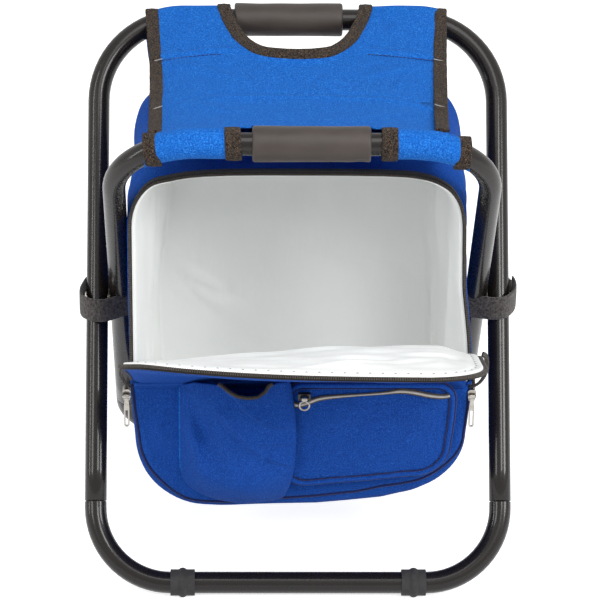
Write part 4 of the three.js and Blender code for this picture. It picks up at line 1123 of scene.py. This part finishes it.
def inner_liner():
    """White film, which leans in towards the rear and meets the back wall in a sharp crease."""
    ys = np.concatenate([[-80.6, -80.4, -79.8, -78.4, -76], np.linspace(-72, 60, 44), [64, 67, 69, 70]])
    insets = np.interp(
        ys, [-80.6, -80.4, -79.8, -78.4, -76, -72, 67, 69, 70],
        [3.4, 4.4, 5.4, 6.0, 6.4, 6.6, 6.6, 7.0, 8.6]
    )
    rings = bag_rings(
        zip(ys, insets),
        lambda y: np.interp(y, [-80, -60, -20, 20, 70], [138.3, 136.0, 131.0, 127.5, 125.0])
    )
    spread = unit((rings - BAG_MIDDLE) * [1, 0, 1])
    x, y, z = rings[..., 0], rings[..., 1], rings[..., 2]
    free = ramp(y, -78, -40)
    rear = ramp(y, -70, 70)
    lean = np.where(x < 0, 11.0, -4.0) * rear * ramp(z, -30, 90) * ramp(np.abs(x), 60, 110)
    rings = rings + lean[..., None] * [1, 0, 0]
    push = -np.abs(rough(rings, 40, 3.0, 1.1)) * free
    low_left = ramp(-x, 95, 115) * bump(z, -70, 45)
    push -= (4.5 * bump(y + 0.5 * z, 10, 14) + 3.0 * bump(y + 0.2 * z, -38, 9)) * low_left * free
    right_wall = ramp(x, 100, 120)
    creased = (
        4.5 * bump(y - 0.12 * z, 12, 15) * bump(z, 95, 70)
        + 4.0 * bump(y + 0.3 * z, -30, 11) * bump(z, 10, 70)
    )
    push -= (creased + 2.6 * bump(y - 0.5 * z, 60, 12) * bump(z, 50, 50)) * right_wall * free
    rings = rings + spread * push[..., None]
    shaped = []
    for row in cap_rings(rings[-1], 34, 0.0):
        x, z = row[:, 0], row[:, 2]
        lift = rough(row, 75, 2.2, 5.5)
        lift += (
            3.6 * bump(z + 0.55 * x, -62, 5) * bump(x, -84, 24)
            - 2.4 * bump(z + 0.55 * x, -74, 8) * bump(x, -76, 30)
        )
        lift += (
            2.2 * bump(z + 0.95 * x, -118, 7) * bump(x, -96, 22)
            + 2.2 * bump(z - 0.25 * x, -100, 12) * bump(x, -60, 50)
        )
        lift += (
            1.8 * bump(x + 0.2 * z, 40, 10) * ramp(z, 0, 60)
            + 2.0 * bump(z + 0.35 * x, 20, 8) * bump(x, 60, 40)
        )
        row = row.copy()
        row[:, 1] -= np.abs(lift)
        shaped.append(row)
    rings = bag_skew(np.concatenate([rings, shaped]))
    points, faces = skin(rings, capped=False)
    faces.append(last_cap(rings))
    obj = add_object("bag_lining", points, faces, LOOKS["liner"], sharp=48)
    thicken(obj, 0.8, 1.0)
    tidy_mesh(obj, 48)
    settle(obj, "outer_frame", ["bag_liner"])


inner_liner()


# zip, panels and flap
def arch(start_z, level, corner, inset, steps=16, flat=3.0):
    """Open path of (x, z) up one side wall, round two corners and down the other, with the way to the
    middle."""
    way = math.copysign(1, level - start_z)
    radius = corner - inset
    left = [(-RIM_HALF + inset, z, 1, 0) for z in np.arange(start_z, level - way * corner, way * flat)]
    for a in np.linspace(0, math.pi / 2, steps):
        c, s = math.cos(a), math.sin(a)
        left.append(
            (-RIM_HALF + corner - radius * c, level - way * corner + way * radius * s, c, -way * s)
        )
    across = [
        (x, level - way * inset, 0, -way)
        for x in np.linspace(-RIM_HALF + corner, RIM_HALF - corner, 60)[1:-1]
    ]
    right = [(-x, z, -ix, iz) for x, z, ix, iz in left[::-1]]
    return np.array(left + across + right)


def flap_curve(d, side):
    """Middle line of the open flap seen from its side: (y, z) at a distance from the fold, at its left
    or right."""
    run = np.linspace(0, FLAP_LENGTH + 10, 400)
    if side < 0:
        angle = np.radians(35 - 7 * smooth((run - 15) / 120))
    else:
        angle = np.radians(47 - 28.5 * smooth((run - 30) / 60))
    step = run[1] - run[0]
    ys = HINGE[0] - np.concatenate([[0], np.cumsum(np.cos((angle[1:] + angle[:-1]) / 2) * step)])
    zs = HINGE[1] + np.concatenate([[0], np.cumsum(np.sin((angle[1:] + angle[:-1]) / 2) * step)])
    return np.stack([np.interp(d, run, ys), np.interp(d, run, zs)], -1)


def flap_place(x, d, rise):
    """Place on the soft open flap: x across, d from the fold, rise from its outer face towards its
    lining."""
    x, d, rise = np.broadcast_arrays(np.asarray(x, float), np.asarray(d, float), np.asarray(rise, float))
    share = np.tanh(np.maximum(x + 122, 0) / 100)[..., None]

    def at(q):
        return (1 - share) * flap_curve(q, -1) + share * flap_curve(q, 1)

    base = at(d)
    ahead = unit(at(d + 1.0) - base)
    normal = np.stack([ahead[..., 1], -ahead[..., 0]], -1)
    place = base + normal * rise[..., None]
    return np.stack([x * (1 + 0.023 * ramp(d, 15, 95)), place[..., 0], place[..., 1]], -1)


def teeth(name, path, way, up, body, nodes, pitch=1.9, size=(1.15, 2.5, 2.1), look="teeth"):
    """Small blocks along a path: a zip's coil, or a row of stitches."""
    way, up = (np.broadcast_to(np.asarray(v, float), path.shape) for v in (way, up))
    stacked = resample(np.concatenate([path, way, up], 1), pitch)
    points, faces = [], []
    centres, ways, ups = stacked[:, :3], unit(stacked[:, 3:6]), unit(stacked[:, 6:])
    along = unit(np.gradient(centres, axis=0))
    cube = [(0, 1, 3, 2), (4, 6, 7, 5), (0, 4, 5, 1), (2, 3, 7, 6), (0, 2, 6, 4), (1, 5, 7, 3)]
    for centre, a, w, u in zip(centres, along, ways, ups):
        base = len(points)
        for i in (-0.5, 0.5):
            for j in (-0.5, 0.5):
                for k in (-0.5, 0.5):
                    points.append(
                        centre + a * size[0] * i + w * size[1] * j * (0.75 if k > 0 else 1)
                        + u * size[2] * k
                    )
        faces += [tuple(base + v for v in face) for face in cube]
    obj = add_object(name, points, faces, LOOKS[look], sharp=30)
    return settle(obj, body, nodes)


def flap_settle(obj, nodes):
    settle(obj, "flap", nodes)
    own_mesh(obj)
    return obj


def arch_disc(start_z, level, corner, layers, flat_steps=24):
    """Rings of an arch closed by its foot line, drawn in and raised by (inset, rise, share) layers;
    share pulls towards the middle."""
    rings = []
    for inset, rise, share in layers:
        ring = arch(start_z, level, corner, inset)
        foot = start_z + math.copysign(min(inset, 4.0), level - start_z)
        side = np.stack([ring[:, 0], ring[:, 1]], 1)
        side[:, 1] = np.where(
            (side[:, 1] - foot) * math.copysign(1, level - start_z) < 0, foot, side[:, 1]
        )
        side[[0, -1], 1] = foot
        base = np.stack(
            [np.linspace(side[-1, 0], side[0, 0], flat_steps + 2)[1:-1], np.full(flat_steps, foot)], 1
        )
        loop = np.concatenate([side, base])
        middle = np.array([0.0, (start_z + level) / 2])
        loop = middle + (loop - middle) * (1 - share)
        rings.append(np.concatenate([loop, np.full((len(loop), 1), rise)], 1))
    return np.array(rings)


def flap_panel():
    shares = np.linspace(0.02, 0.985, 18)
    start = HINGE[1] + 0.5
    under = (
        [(2.6, 4.0, 0), (3.2, 2.8, 0), (5.0, 1.7, 0), (8.0, 0.6, 0), (11.0, 0.1, 0)]
        + [(11.0, 0.1, s) for s in shares]
    )
    over = [(2.6, 4.6, 0), (3.0, 5.2, 0), (4.2, 5.5, 0)] + [(5.2, 5.5, s) for s in shares]
    rings = np.concatenate(
        [arch_disc(start, BAG_TOP, TOP_CORNER, under[::-1]), arch_disc(start, BAG_TOP, TOP_CORNER, over)]
    )
    flat = rings.copy()
    plan = np.stack([rings[..., 0], rings[..., 1], 0 * rings[..., 0]], -1)
    flat[..., 2] -= np.maximum(0, rough(plan, 50, 1.2, 9.0)) * (rings[..., 2] < 3)
    place = flap_place(flat[..., 0], flat[..., 1] - HINGE[1], flat[..., 2])
    obj = add_object("flap_outer", *skin(place), LOOKS["bag"])
    flap_settle(obj, ["flap_panel"])


flap_panel()


def flap_lining():
    """Puffed white lining: fullest across the middle of the flap, more so at its right, with a
    stitched border."""
    shares = np.linspace(0.0, 0.985, 34)
    start = HINGE[1] + 2
    layers = (
        [(3.3, 5.6, 0), (3.3, 6.7, 0), (4.2, 7.4, 0), (6.3, 7.6, 0), (8.4, 7.1, 0), (10.2, 7.7, 0)]
        + [(12, 8.2, s) for s in shares]
    )
    rings = arch_disc(start, BAG_TOP, TOP_CORNER, layers)
    x, z = rings[..., 0], rings[..., 1]
    d = z - HINGE[1]
    plan = np.stack([x, z, 0 * x], -1)
    edge = ramp(np.arange(len(rings))[:, None] + 0 * x, 5, 12)
    crown = (1.2 + 5.2 * ramp(x, -70, 40)) * (0.35 + 0.65 * bump(d, 88, 42))
    folds = rough(plan * [0.55, 1.7, 1], 24, 1.8, 5.0)
    folds += (
        1.9 * bump(z + 0.30 * x, 128, 4.0) * bump(x, 40, 45)
        - 1.2 * bump(z + 0.30 * x, 120, 5.0) * bump(x, 40, 45)
    )
    folds += (
        1.2 * bump(z + 0.15 * x, 96, 6) * bump(x, 80, 40) + 2.4 * bump(x, 122, 5) * bump(z, 105, 28)
        - 1.8 * bump(x, 113, 5) * bump(z, 100, 28)
    )
    rise = np.maximum(rings[..., 2] + (crown + folds) * edge, 5.6)
    points, faces = skin(flap_place(x, d, rise), capped=False)
    faces.append(last_cap(rings))
    obj = add_object("flap_white_lining", points, faces, LOOKS["liner"])
    flap_settle(obj, ["flap_lining"])
    ring = arch(HINGE[1] + 14, BAG_TOP, TOP_CORNER, 8.4)
    path = resample(flap_place(ring[:, 0], ring[:, 1] - HINGE[1], 7.5), 9.6)
    dots, faces = [], []
    for p in path[2:-2]:
        base = len(dots)
        for a in range(6):
            c, s = math.cos(a * math.pi / 3), math.sin(a * math.pi / 3)
            dots.append(p + np.array([c, 0.4 * s, 0.35 * s]))
        dots.append(p + np.array([0, 0.25, 0.5]))
        faces += [(base + a, base + (a + 1) % 6, base + 6) for a in range(6)]
    stitches = add_object("flap_stitches", dots, faces, LOOKS["thread"])
    flap_settle(stitches, [])


flap_lining()


def flap_zip():
    start = HINGE[1] + 10
    ring = arch(start, BAG_TOP, TOP_CORNER, 0.4)
    x, d = ring[:, 0], ring[:, 1] - HINGE[1]
    rings = []
    for inset, rise in [(1.2, 2.0), (1.2, 5.6), (3.2, 5.6), (3.2, 2.0)]:
        loop = arch(start, BAG_TOP, TOP_CORNER, inset)
        rings.append(flap_place(loop[:, 0], loop[:, 1] - HINGE[1], rise))
    tape = add_object("flap_zip_tape", *skin(np.array(rings).transpose(1, 0, 2)), LOOKS["zip"], sharp=50)
    flap_settle(tape, ["zip_flap_half"])
    path = flap_place(x, d, 4.8)
    tip = flap_place(x, d, 6.8)
    middle = flap_place(x + ring[:, 2], d + ring[:, 3], 4.8)
    coil = teeth(
        "flap_zip_teeth", path, middle - path, tip - path, None, [], pitch=1.8, size=(1.0, 2.2, 2.4)
    )
    flap_settle(coil, [])
    low = arch(start, BAG_TOP, TOP_CORNER, 2.2)
    bead_path = flap_place(low[:, 0], low[:, 1] - HINGE[1], 2.6)
    bead = add_object("flap_piping", *skin(carried(bead_path, disc(0.8, 8), (0, 0.3, 1))), LOOKS["navy"])
    flap_settle(bead, [])


flap_zip()


def fold_strip():
    """Cloth that joins the lower front to the root of the open flap."""
    xs = np.linspace(-134, 134, 90)

    def fixed(y, z):
        return np.stack([xs, np.full(len(xs), y), np.full(len(xs), z)], 1)

    rows = [
        fixed(-91.2, -36.5), fixed(-92.6, -34.0), fixed(-93.8, -32.2), flap_place(xs, 2.5, -0.6),
        flap_place(xs, 5.5, -0.5), flap_place(xs, 9.0, 0.1)
    ]
    obj = add_object("flap_root_fold", rows, grid_faces(6, len(xs)), LOOKS["bag"])
    thicken(obj, 1.2, 0.0)
    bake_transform(obj)
    settle(obj, None, [])


fold_strip()


def rim_zip():
    start = RIM_ZIP_FOOT

    def flare(loop):
        return np.stack(
            [loop[:, 0] + np.sign(loop[:, 0]) * 3.0 * ramp(-loop[:, 1], 12, 37), loop[:, 1]], 1
        )

    rings = []
    for inset, y in [(0.4, -79.9), (0.4, -85.0), (2.9, -85.0), (2.9, -79.9)]:
        loop = arch(start, BAG_TOP, TOP_CORNER, inset)
        loop[:, 1] += (1.7 if inset < 1 else 0.3) * loop[:, 3] ** 2
        loop = flare(loop)
        rings.append(bag_skew(upright(loop, y)))
    rings = np.array(rings).transpose(1, 0, 2)
    tape = add_object("rim_zip_tape", *skin(rings), LOOKS["zip"], sharp=50)
    settle(tape, "outer_frame", ["zip_rim_half"])
    full = arch(start, BAG_TOP, TOP_CORNER, 1.6)
    loop = flare(full)
    path = bag_skew(upright(loop, RIM_TEETH_Y))
    way = np.stack([full[:, 2], 0 * full[:, 2], full[:, 3]], 1)
    teeth("rim_zip_teeth", path, way, (0, -1, 0), "outer_frame", [], size=(1.15, 2.5, 1.4))


rim_zip()


def zip_tail(side, label, line):
    """Tape of the zip between a slider and the root of the open flap, bulging clear of the bag."""
    path = resample(rounded_line(line, 3), 1.5)
    outward = np.broadcast_to([side * 0.55, -0.8, 0.2], path.shape)
    tape = add_object(
        f"zip_tail_{label}", *skin(carried(path, pill(4.8, 1.6, 14), unit(outward))), LOOKS["zip"]
    )
    coil = teeth(
        f"zip_tail_{label}_teeth", path + unit(outward) * 1.2,
        unit(np.cross(np.gradient(path, axis=0), outward)), outward, None, [], size=(1.1, 2.4, 1.6)
    )
    for piece in (tape, coil):
        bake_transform(piece)
        settle(piece, None, [])


zip_tail(
    -1, "left",
    [
        (-138.8, -88.5, -36.5), (-141.5, -93, -31), (-144.0, -101, -21), (-144.2, -113, -10),
        (-141.5, -127, -1)
    ]
)
zip_tail(
    1, "right",
    [
        (139.5, -88.5, -36.5), (145.5, -94, -31), (150.0, -103, -17), (149.8, -112, -2), (147.5, -121, 9),
        (144.0, -131, 15)
    ]
)


def lower_panel():
    shares = np.linspace(0.02, 0.985, 26)
    layers = (
        [(3.4, -80.4, 0), (3.4, -88.3, 0), (3.9, -89.6, 0), (5.2, -90.6, 0)]
        + [(6.5, -91.0, s) for s in shares]
    )
    rings = arch_disc(LOWER_FRONT_TOP, BAG_BOTTOM, BOTTOM_CORNER, layers)
    x, z, y = rings[..., 0], rings[..., 1], rings[..., 2]
    inner = ramp(np.arange(len(rings))[:, None] + 0 * x, 3, 10)
    plan = np.stack([x, z, 0 * x], -1)
    folds = 2.0 * bump(z + 0.62 * x, -152, 9) * bump(x, -112, 20) + rough(plan, 36, 2.4, 6.1)
    y = y - inner * (1.2 * bump(x, 0, 90) + np.maximum(folds, -1.2) * 0.7)
    rings = bag_skew(np.stack([x, y, z], -1), "panel")
    obj = add_object("lower_front", *skin(rings), LOOKS["bag"])
    settle(obj, "outer_frame", ["lower_front_panel"])
    lining = arch_disc(
        LOWER_FRONT_TOP, BAG_BOTTOM, BOTTOM_CORNER,
        [(8.9, -80.1, 0), (8.9, -79.0, 0), (10, -78.6, 0)] + [(12, -78.4, s) for s in shares]
    )
    lining = bag_skew(np.stack([lining[..., 0], lining[..., 2], lining[..., 1]], -1), "panel")
    inside = add_object("lower_front_white_lining", *skin(lining), LOOKS["liner"])
    settle(inside, "outer_frame", ["lower_front_lining"])
    loop = arch(-34.5, BAG_BOTTOM, BOTTOM_CORNER, 2.2)
    path = bag_skew(upright(loop, -88.6), "panel")
    bead = add_object("front_edge_piping", *skin(carried(path, disc(1.05, 12), (0, 1, 0))), LOOKS["navy"])
    settle(bead, "outer_frame", ["front_piping"])
    near = arch(-33.0, BAG_BOTTOM, BOTTOM_CORNER, 4.0)
    far = arch(-33.0, BAG_BOTTOM, BOTTOM_CORNER, 0.6)
    near = bag_skew(upright(near, -87.4), "panel")
    far = bag_skew(upright(far, -79.6))
    spread = unit((far - near) * [1, 0, 1])
    rows = [
        near + (far - near) * s + (np.array([0, -2.6, 0]) + spread * 0.8) * math.sin(math.pi * s)
        for s in np.linspace(0, 1, 7)
    ]
    ridge = add_object("front_edge_band", rows, grid_faces(7, len(near)), LOOKS["bag"])
    thicken(ridge, 1.2, 0.0)
    settle(ridge, "outer_frame", [])


lower_panel()


# bottle pocket
POUCH = resample(
    rounded_line(
        [
            (-97, 0), (-95, 8), (-87, 18), (-70, 26), (-50, 30), (-28, 30), (-12, 26), (-3, 20.5),
            (-3.5, 17.5), (-11, 15.5), (-13, 12), (-13, 0)
        ]
    ),
    1.0
)
POUCH_EDGE = int(np.argmax(POUCH[:, 0])) / (len(POUCH) - 1)
POUCH_CREASES = (
    (
        [(-64, -20), (-50.1, -26.5), (-44.6, -37.4), (-31.7, -47.1), (-10.0, -56.9), (-4, -60)], 4.6, 9.0,
        2.8, 0.15
    ),
    ([(-72, -36), (-64, -44.7), (-47.8, -61.9), (-35.8, -75.5), (-30, -82)], 5.4, 15.0, 3.4, 0.3),
    ([(-42, -66.5), (-20.7, -70.4), (-1, -72.2)], 3.4, 7.0, 2.4, 0.3),
    ([(-28, -81), (-7.4, -92.6), (-3, -96)], 3.4, 6.0, 2.4, 0.3),
)


def bottle_point(t, v):
    """Place on the bottle pocket's wall: t across from its left seam, v from its foot to its mouth."""
    t, v = np.broadcast_arrays(np.asarray(t, float), np.asarray(v, float))
    stops = np.linspace(0, 1, len(POUCH))
    x = np.interp(t, stops, POUCH[:, 0])
    out = np.interp(t, stops, POUCH[:, 1])
    full = np.sin(np.minimum(v / 0.36, 1) * math.pi / 2) ** 0.72
    hang = np.sin(math.pi * np.clip(v * 0.92 + 0.02, 0, 1)) ** 0.6
    x = np.where(x > -13, -13 + (x + 13) * hang, x)
    foot_z = -143 + 28 * np.abs(2 * t - 1) ** 2.2
    front_x = np.interp(np.minimum(t, POUCH_EDGE), stops, POUCH[:, 0])
    top_z = np.interp(
        front_x, [-97, -85, -66, -60.8, -51, -42.5, -34, -28, -25, -18, -4],
        [-31, -21.5, -19.5, -22.2, -26.8, -29.2, -29.4, -25, -19.5, -17, -18]
    )
    top_z = top_z - 12 * ramp(t, POUCH_EDGE, 1)
    z = foot_z + (top_z - foot_z) * v
    out = out * full
    held = full * np.clip(out / 14, 0, 1)
    for line, height, above, below, fade in POUCH_CREASES:
        away, share = from_line(x, z, line)
        ends = ramp(share, 0, fade) * (1 - 0.6 * ramp(share, 0.85, 1))
        profile = np.where(away > 0, np.exp(-away / above), np.exp(-((away / below) ** 2)))
        out = out + height * profile * ends * held
    hollow = np.hypot((x + 80 + 0.35 * (z + 62)) / 9, (z + 66) / 26)
    out = out - 7.0 * np.exp(-(hollow**2)) * held
    out = (
        out + 4.0 * bump(x + 0.2 * z, -101, 5) * bump(z, -78, 22) * held
        + 3.5 * bump(z, -104, 18) * bump(x, -48, 30) * held
    )
    return np.stack([x, POCKET_BACK - np.maximum(out, 0.3), z], -1)


def bottle_pocket():
    ts, vs = np.linspace(0, 1, 110), np.linspace(0, 1, 96)
    grid_t, grid_v = np.meshgrid(ts, vs)
    wall = bottle_point(grid_t, grid_v)
    soft = rough(wall, 15, 0.8, 8.8) * np.clip((POCKET_BACK - wall[..., 1]) / 10, 0, 1)
    wall[..., 1] = np.minimum(wall[..., 1] + soft, POCKET_BACK - 0.3)
    foot = wall[0].copy()
    foot[:, 1] = POCKET_BACK - 0.3
    rows = np.concatenate([foot[None], wall])
    obj = add_object("bottle_pocket_wall", rows, grid_faces(*rows.shape[:2]), LOOKS["pocket"])
    thicken(obj, 1.3, 0.0)
    tidy_mesh(obj)
    settle(obj, "outer_frame", ["bottle_pocket"])
    stops = np.linspace(0.02, POUCH_EDGE - 0.02, 90)
    stops = stops[np.abs(bottle_point(stops, 1.0)[:, 0] + 44) < 22]
    path = bottle_point(stops, 1.0) + np.array([0, 0, 0.9])
    band = add_object(
        "bottle_pocket_edge", *skin(carried(path, pill(2.4, 3.0, 14), (0, -0.15, 1))), LOOKS["trim"]
    )
    settle(band, "outer_frame", ["bottle_pocket_trim"])
    seam = (
        [(-96.9, POCKET_BACK - 1.2, z) for z in np.linspace(-34, -104, 40)]
        + [(-96, POCKET_BACK - 1.2, -111), (-92.5, POCKET_BACK - 1.2, -118)]
    )
    line = add_object(
        "bottle_pocket_seam", *skin(carried(resample(seam, 2), pill(2.4, 3.4, 10), (0, -1, 0))),
        LOOKS["seat"]
    )
    settle(line, "outer_frame", [])
    return obj


bottle = bottle_pocket()


# zipped pocket
def rounded_box(left, right, low, high, corner, low_right, inset, steps=9, flat=10):
    points = []
    for cx, cz, size, start in (
        (right - low_right, low + low_right, low_right, -90), (right - corner, high - corner, corner, 0),
        (left + corner, high - corner, corner, 90), (left + corner, low + corner, corner, 180),
    ):
        radius = max(size - inset, 0.5)
        for a in np.radians(np.linspace(start, start + 90, steps)):
            points.append((cx + radius * math.cos(a), cz + radius * math.sin(a)))
    return closed_outline(points, 20, flat)


def pocket_edge(x, z):
    """How far a place lies inside the zipped pocket's outline."""
    across = np.minimum(x - POCKET_LEFT, POCKET_RIGHT - x)
    return np.minimum(across, np.minimum(z - POCKET_LOW, POCKET_HIGH - z))


def pocket_face_y(x, z):
    """Front of the zipped pocket: crowned towards its middle."""
    return POCKET_FACE - 2.2 * smooth(pocket_edge(x, z) / 36)


SWELL_FRAMES = 20


def swell(obj, voxel, cap, hold):
    """Inflates a closed padded piece with Blender's cloth. hold(places) says how firmly each place is
    held, 0 to 1, and no point moves further than cap."""
    scene = bpy.context.scene
    even = obj.modifiers.new("even", "REMESH")
    even.mode, even.voxel_size = "VOXEL", voxel * MM
    bake_modifiers(obj)
    start = np.array([v.co for v in obj.data.vertices])
    group = obj.vertex_groups.new(name="held")
    for index, weight in enumerate(hold((start - PIVOT) / MM)):
        group.add([index], float(weight), "REPLACE")
    cloth = obj.modifiers.new("cloth", "CLOTH")
    cloth.settings.vertex_group_mass = "held"
    cloth.settings.use_pressure = True
    cloth.settings.uniform_pressure_force = 4
    cloth.settings.effector_weights.gravity = 0
    cloth.point_cache.frame_start, cloth.point_cache.frame_end = 1, SWELL_FRAMES
    for step in range(1, SWELL_FRAMES + 1):
        scene.frame_set(step)
    bake_modifiers(obj)
    scene.frame_set(1)
    moved = np.array([v.co for v in obj.data.vertices]) - start
    far = np.linalg.norm(moved, axis=1, keepdims=True)
    moved *= np.minimum(1, cap * MM / np.maximum(far, 1e-9))
    obj.data.vertices.foreach_set("co", (start + moved).ravel())
    obj.vertex_groups.clear()
    tidy_mesh(obj)
    subdivide(obj)


def pocket_hold(places):
    """The zipped pocket is held by the bag behind it, at its sewn edges and along its zip."""
    x, y, z = places.T
    edge = pocket_edge(x, z)
    zipped = bump(
        z,
        np.interp(x, [-5, 6, 16, 30, 52, 80, 103, 119], [-43, -41, -37, -35, -33.6, -30.2, -34.4, -34.6]),
        6
    )
    return np.clip(np.maximum(1 - ramp(edge, 6, 16) * ramp(-y, 102, 105), zipped), 0, 1)


def zip_pocket():
    sides = (POCKET_LEFT, POCKET_RIGHT, POCKET_LOW, POCKET_HIGH)
    corners = dict(corner=14, low_right=27)
    rings = []
    for inset, y in [
        (0, POCKET_BACK), (0, -98), (0.2, -103.0), (1.0, -105.0), (2.6, -106.0), (4.4, POCKET_FACE)
    ]:
        loop = rounded_box(*sides, inset=inset, **corners)
        rings.append(upright(loop, y))
    base = rounded_box(*sides, inset=4.4, **corners)
    middle = np.array([(POCKET_LEFT + POCKET_RIGHT) / 2, (POCKET_LOW + POCKET_HIGH) / 2])
    for share in np.linspace(0.04, 0.985, 26):
        loop = middle + (base - middle) * (1 - share)
        x, z = loop[:, 0], loop[:, 1]
        plan = np.stack([x, z, 0 * x], -1)
        soft = (
            rough(plan, 30, 2.0, 2.9) + 1.6 * bump(z - 0.3 * x, -62, 7) * bump(x, 14, 22)
            + 1.4 * bump(z + 0.4 * x, -36, 8) * bump(x, 40, 30)
        )
        y = pocket_face_y(x, z) - np.clip(soft, -1.0, 1.8) * smooth(share * 3)
        rings.append(np.stack([x, y, z], 1))
    obj = add_object("zip_pocket_body", *skin(bag_skew(np.array(rings), "pocket")), LOOKS["pocket"])
    swell(obj, 4.0, 3.0, pocket_hold)
    settle(obj, "outer_frame", ["zip_pocket"])
    for name, inset, y, radius, look, nodes in (
        ("zip_pocket_edge", 0.9, -105.9, 2.1, "pocket", ["zip_pocket_piping"]),
        ("zip_pocket_edge_inner_line", 3.5, -106.5, 0.6, "navy", []),
        ("zip_pocket_edge_outer_line", -1.7, -104.4, 1.0, "navy", []),
    ):
        loop = rounded_box(*sides, inset=inset, steps=12, flat=30, **corners)
        path = bag_skew(upright(loop, y), "pocket")
        bead = add_object(
            name, *skin(carried(path, disc(radius, 12), (0, 1, 0), closed=True), looped=True), LOOKS[look]
        )
        settle(bead, "outer_frame", nodes)


zip_pocket()


def wavy_strip():
    """Grey reflective fold between two black edges, which waves across the top of the zipped pocket."""
    line = [
        (-9.3, -39.5), (-5, -43), (-1.3, -43.6), (6.6, -40.8), (15.6, -36.9), (29.2, -35.3),
        (51.8, -33.6), (68.8, -32.3), (80, -30.2), (91.4, -31.6), (102.8, -34.4), (114.2, -35.6),
        (119.5, -34.6)
    ]
    plan = resample(rounded_line(line, 2), 1.4)
    x, z = plan[:, 0], plan[:, 1]
    base = bag_skew(np.stack([x, pocket_face_y(x, z), z], 1), "pocket")
    thick = np.interp(
        x, [-10, 10, 30, 50, 66, 82, 108, 119], [1.0, 1.0, 0.72, 0.5, 0.55, 0.95, 0.95, 0.8]
    )
    for name, lift, out, width, depth, look, nodes, slot in (
        ("strip_upper_edge", 1.35, 1.0, 1.9, 1.8, "teeth", ["zip_pocket_tape"], "zip"),
        ("strip_lower_edge", -1.5, 1.0, 2.3, 1.8, "teeth", ["zip_pocket_chain"], "zip"),
        ("strip_reflective_fold", 0.0, 1.5, 2.5, 1.9, "reflective", ["reflective_strip"], "reflector"),
    ):
        shifted = base + np.stack([0 * x, 0 * x - out, lift * thick], 1)
        section = pill(width, depth, 12)[None] * np.stack([thick, 0.6 + 0.4 * thick], 1)[:, None]
        obj = add_object(name, *skin(carried(shifted, section, (0, -1, 0))), LOOKS[look])
        settle(obj, "outer_frame", nodes)


wavy_strip()


# side straps
def side_strap(side, label, line):
    """Loop of webbing round both tubes, lapped over itself at the outer side; its front bulges towards
    the viewer."""
    plan = resample(rounded_line(line, 3), 2.0)
    path = np.stack([side * plan[:, 0], plan[:, 1], np.zeros(len(plan))], 1)
    path[:, 2] = rough(path, 25, 0.8, 4.0)
    width = np.full(len(path), 20.5) * (1 + rough(path, 16, 0.03, 2.0))
    section = pill(1.0, 1.0, 18, 0.3)[None] * np.stack([np.full(len(path), 1.8), width], 1)[:, None]
    obj = add_object(f"strap_{label}", *skin(carried(path, section, (0, 0, 1))), LOOKS["strap"])
    settle(obj, "outer_frame", [f"side_strap_{label}"])


side_strap(
    -1, "left",
    [
        (176.5, 17), (178.9, 8), (181.3, -4), (179.5, -15.5), (172, -23.5), (162.5, -26), (153, -20.5),
        (144, -13.5), (134.6, -9), (134.2, 0), (134.6, 11), (147, 19), (158, 22), (167, 22.5), (173, 19.5)
    ]
)
side_strap(
    1, "right",
    [
        (180.6, 22.5), (182.2, 12), (181.6, 1), (177, -10), (170, -17.8), (162, -20), (153, -17),
        (143, -13), (134.6, -9), (134.2, 0), (134.6, 11), (145, 18.5), (156, 22.5), (168, 23.5),
        (175.5, 20.5), (178.6, 13)
    ]
)


# CAD pieces that stay
KEPT_SOLIDS = {
    "dark_steel": ["zip_pocket_slider"],
    "nylon": ["pivot_washer_left", "pivot_washer_right"],
    "steel": [
        "pivot_rivet_left", "pivot_rivet_right", "zip_slider_left", "zip_slider_right", "zip_pull_left",
        "zip_pull_right", "zip_pocket_ring_pull"
    ],
}
for look, nodes in KEPT_SOLIDS.items():
    for node in nodes:
        for material_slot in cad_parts[node].material_slots:
            material_slot.link = "OBJECT"
            material_slot.material = LOOKS[look]


def edge_tack(side, y):
    """One bar of thread across a side binding."""
    inner = float(seat_edges(y)[(side + 1) // 2])
    path = [
        (inner - side * s, y + 0.5 * s / 11, float(seat_height(inner - side * s, y)) + 2.3)
        for s in np.linspace(0.6, 10.6, 12)
    ]
    obj = add_object("seat_edge_tack", *skin(carried(path, disc(0.45, 8), (0, 0, 1))), LOOKS["thread"])
    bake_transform(obj)
    return settle(obj, None, [])


edges += [edge_tack(side, y) for side, y in ((-1, 49.5), (-1, -50.5), (1, 49.5), (1, -47.0))]
edges.append(seat_stitches("seat_hem_stitches_left", np.linspace(-113, -66, 20), hem_line, "navy"))
edges.append(seat_stitches("seat_hem_stitches_right", np.linspace(57, 109, 20), hem_line, "navy"))

bpy.context.view_layer.update()
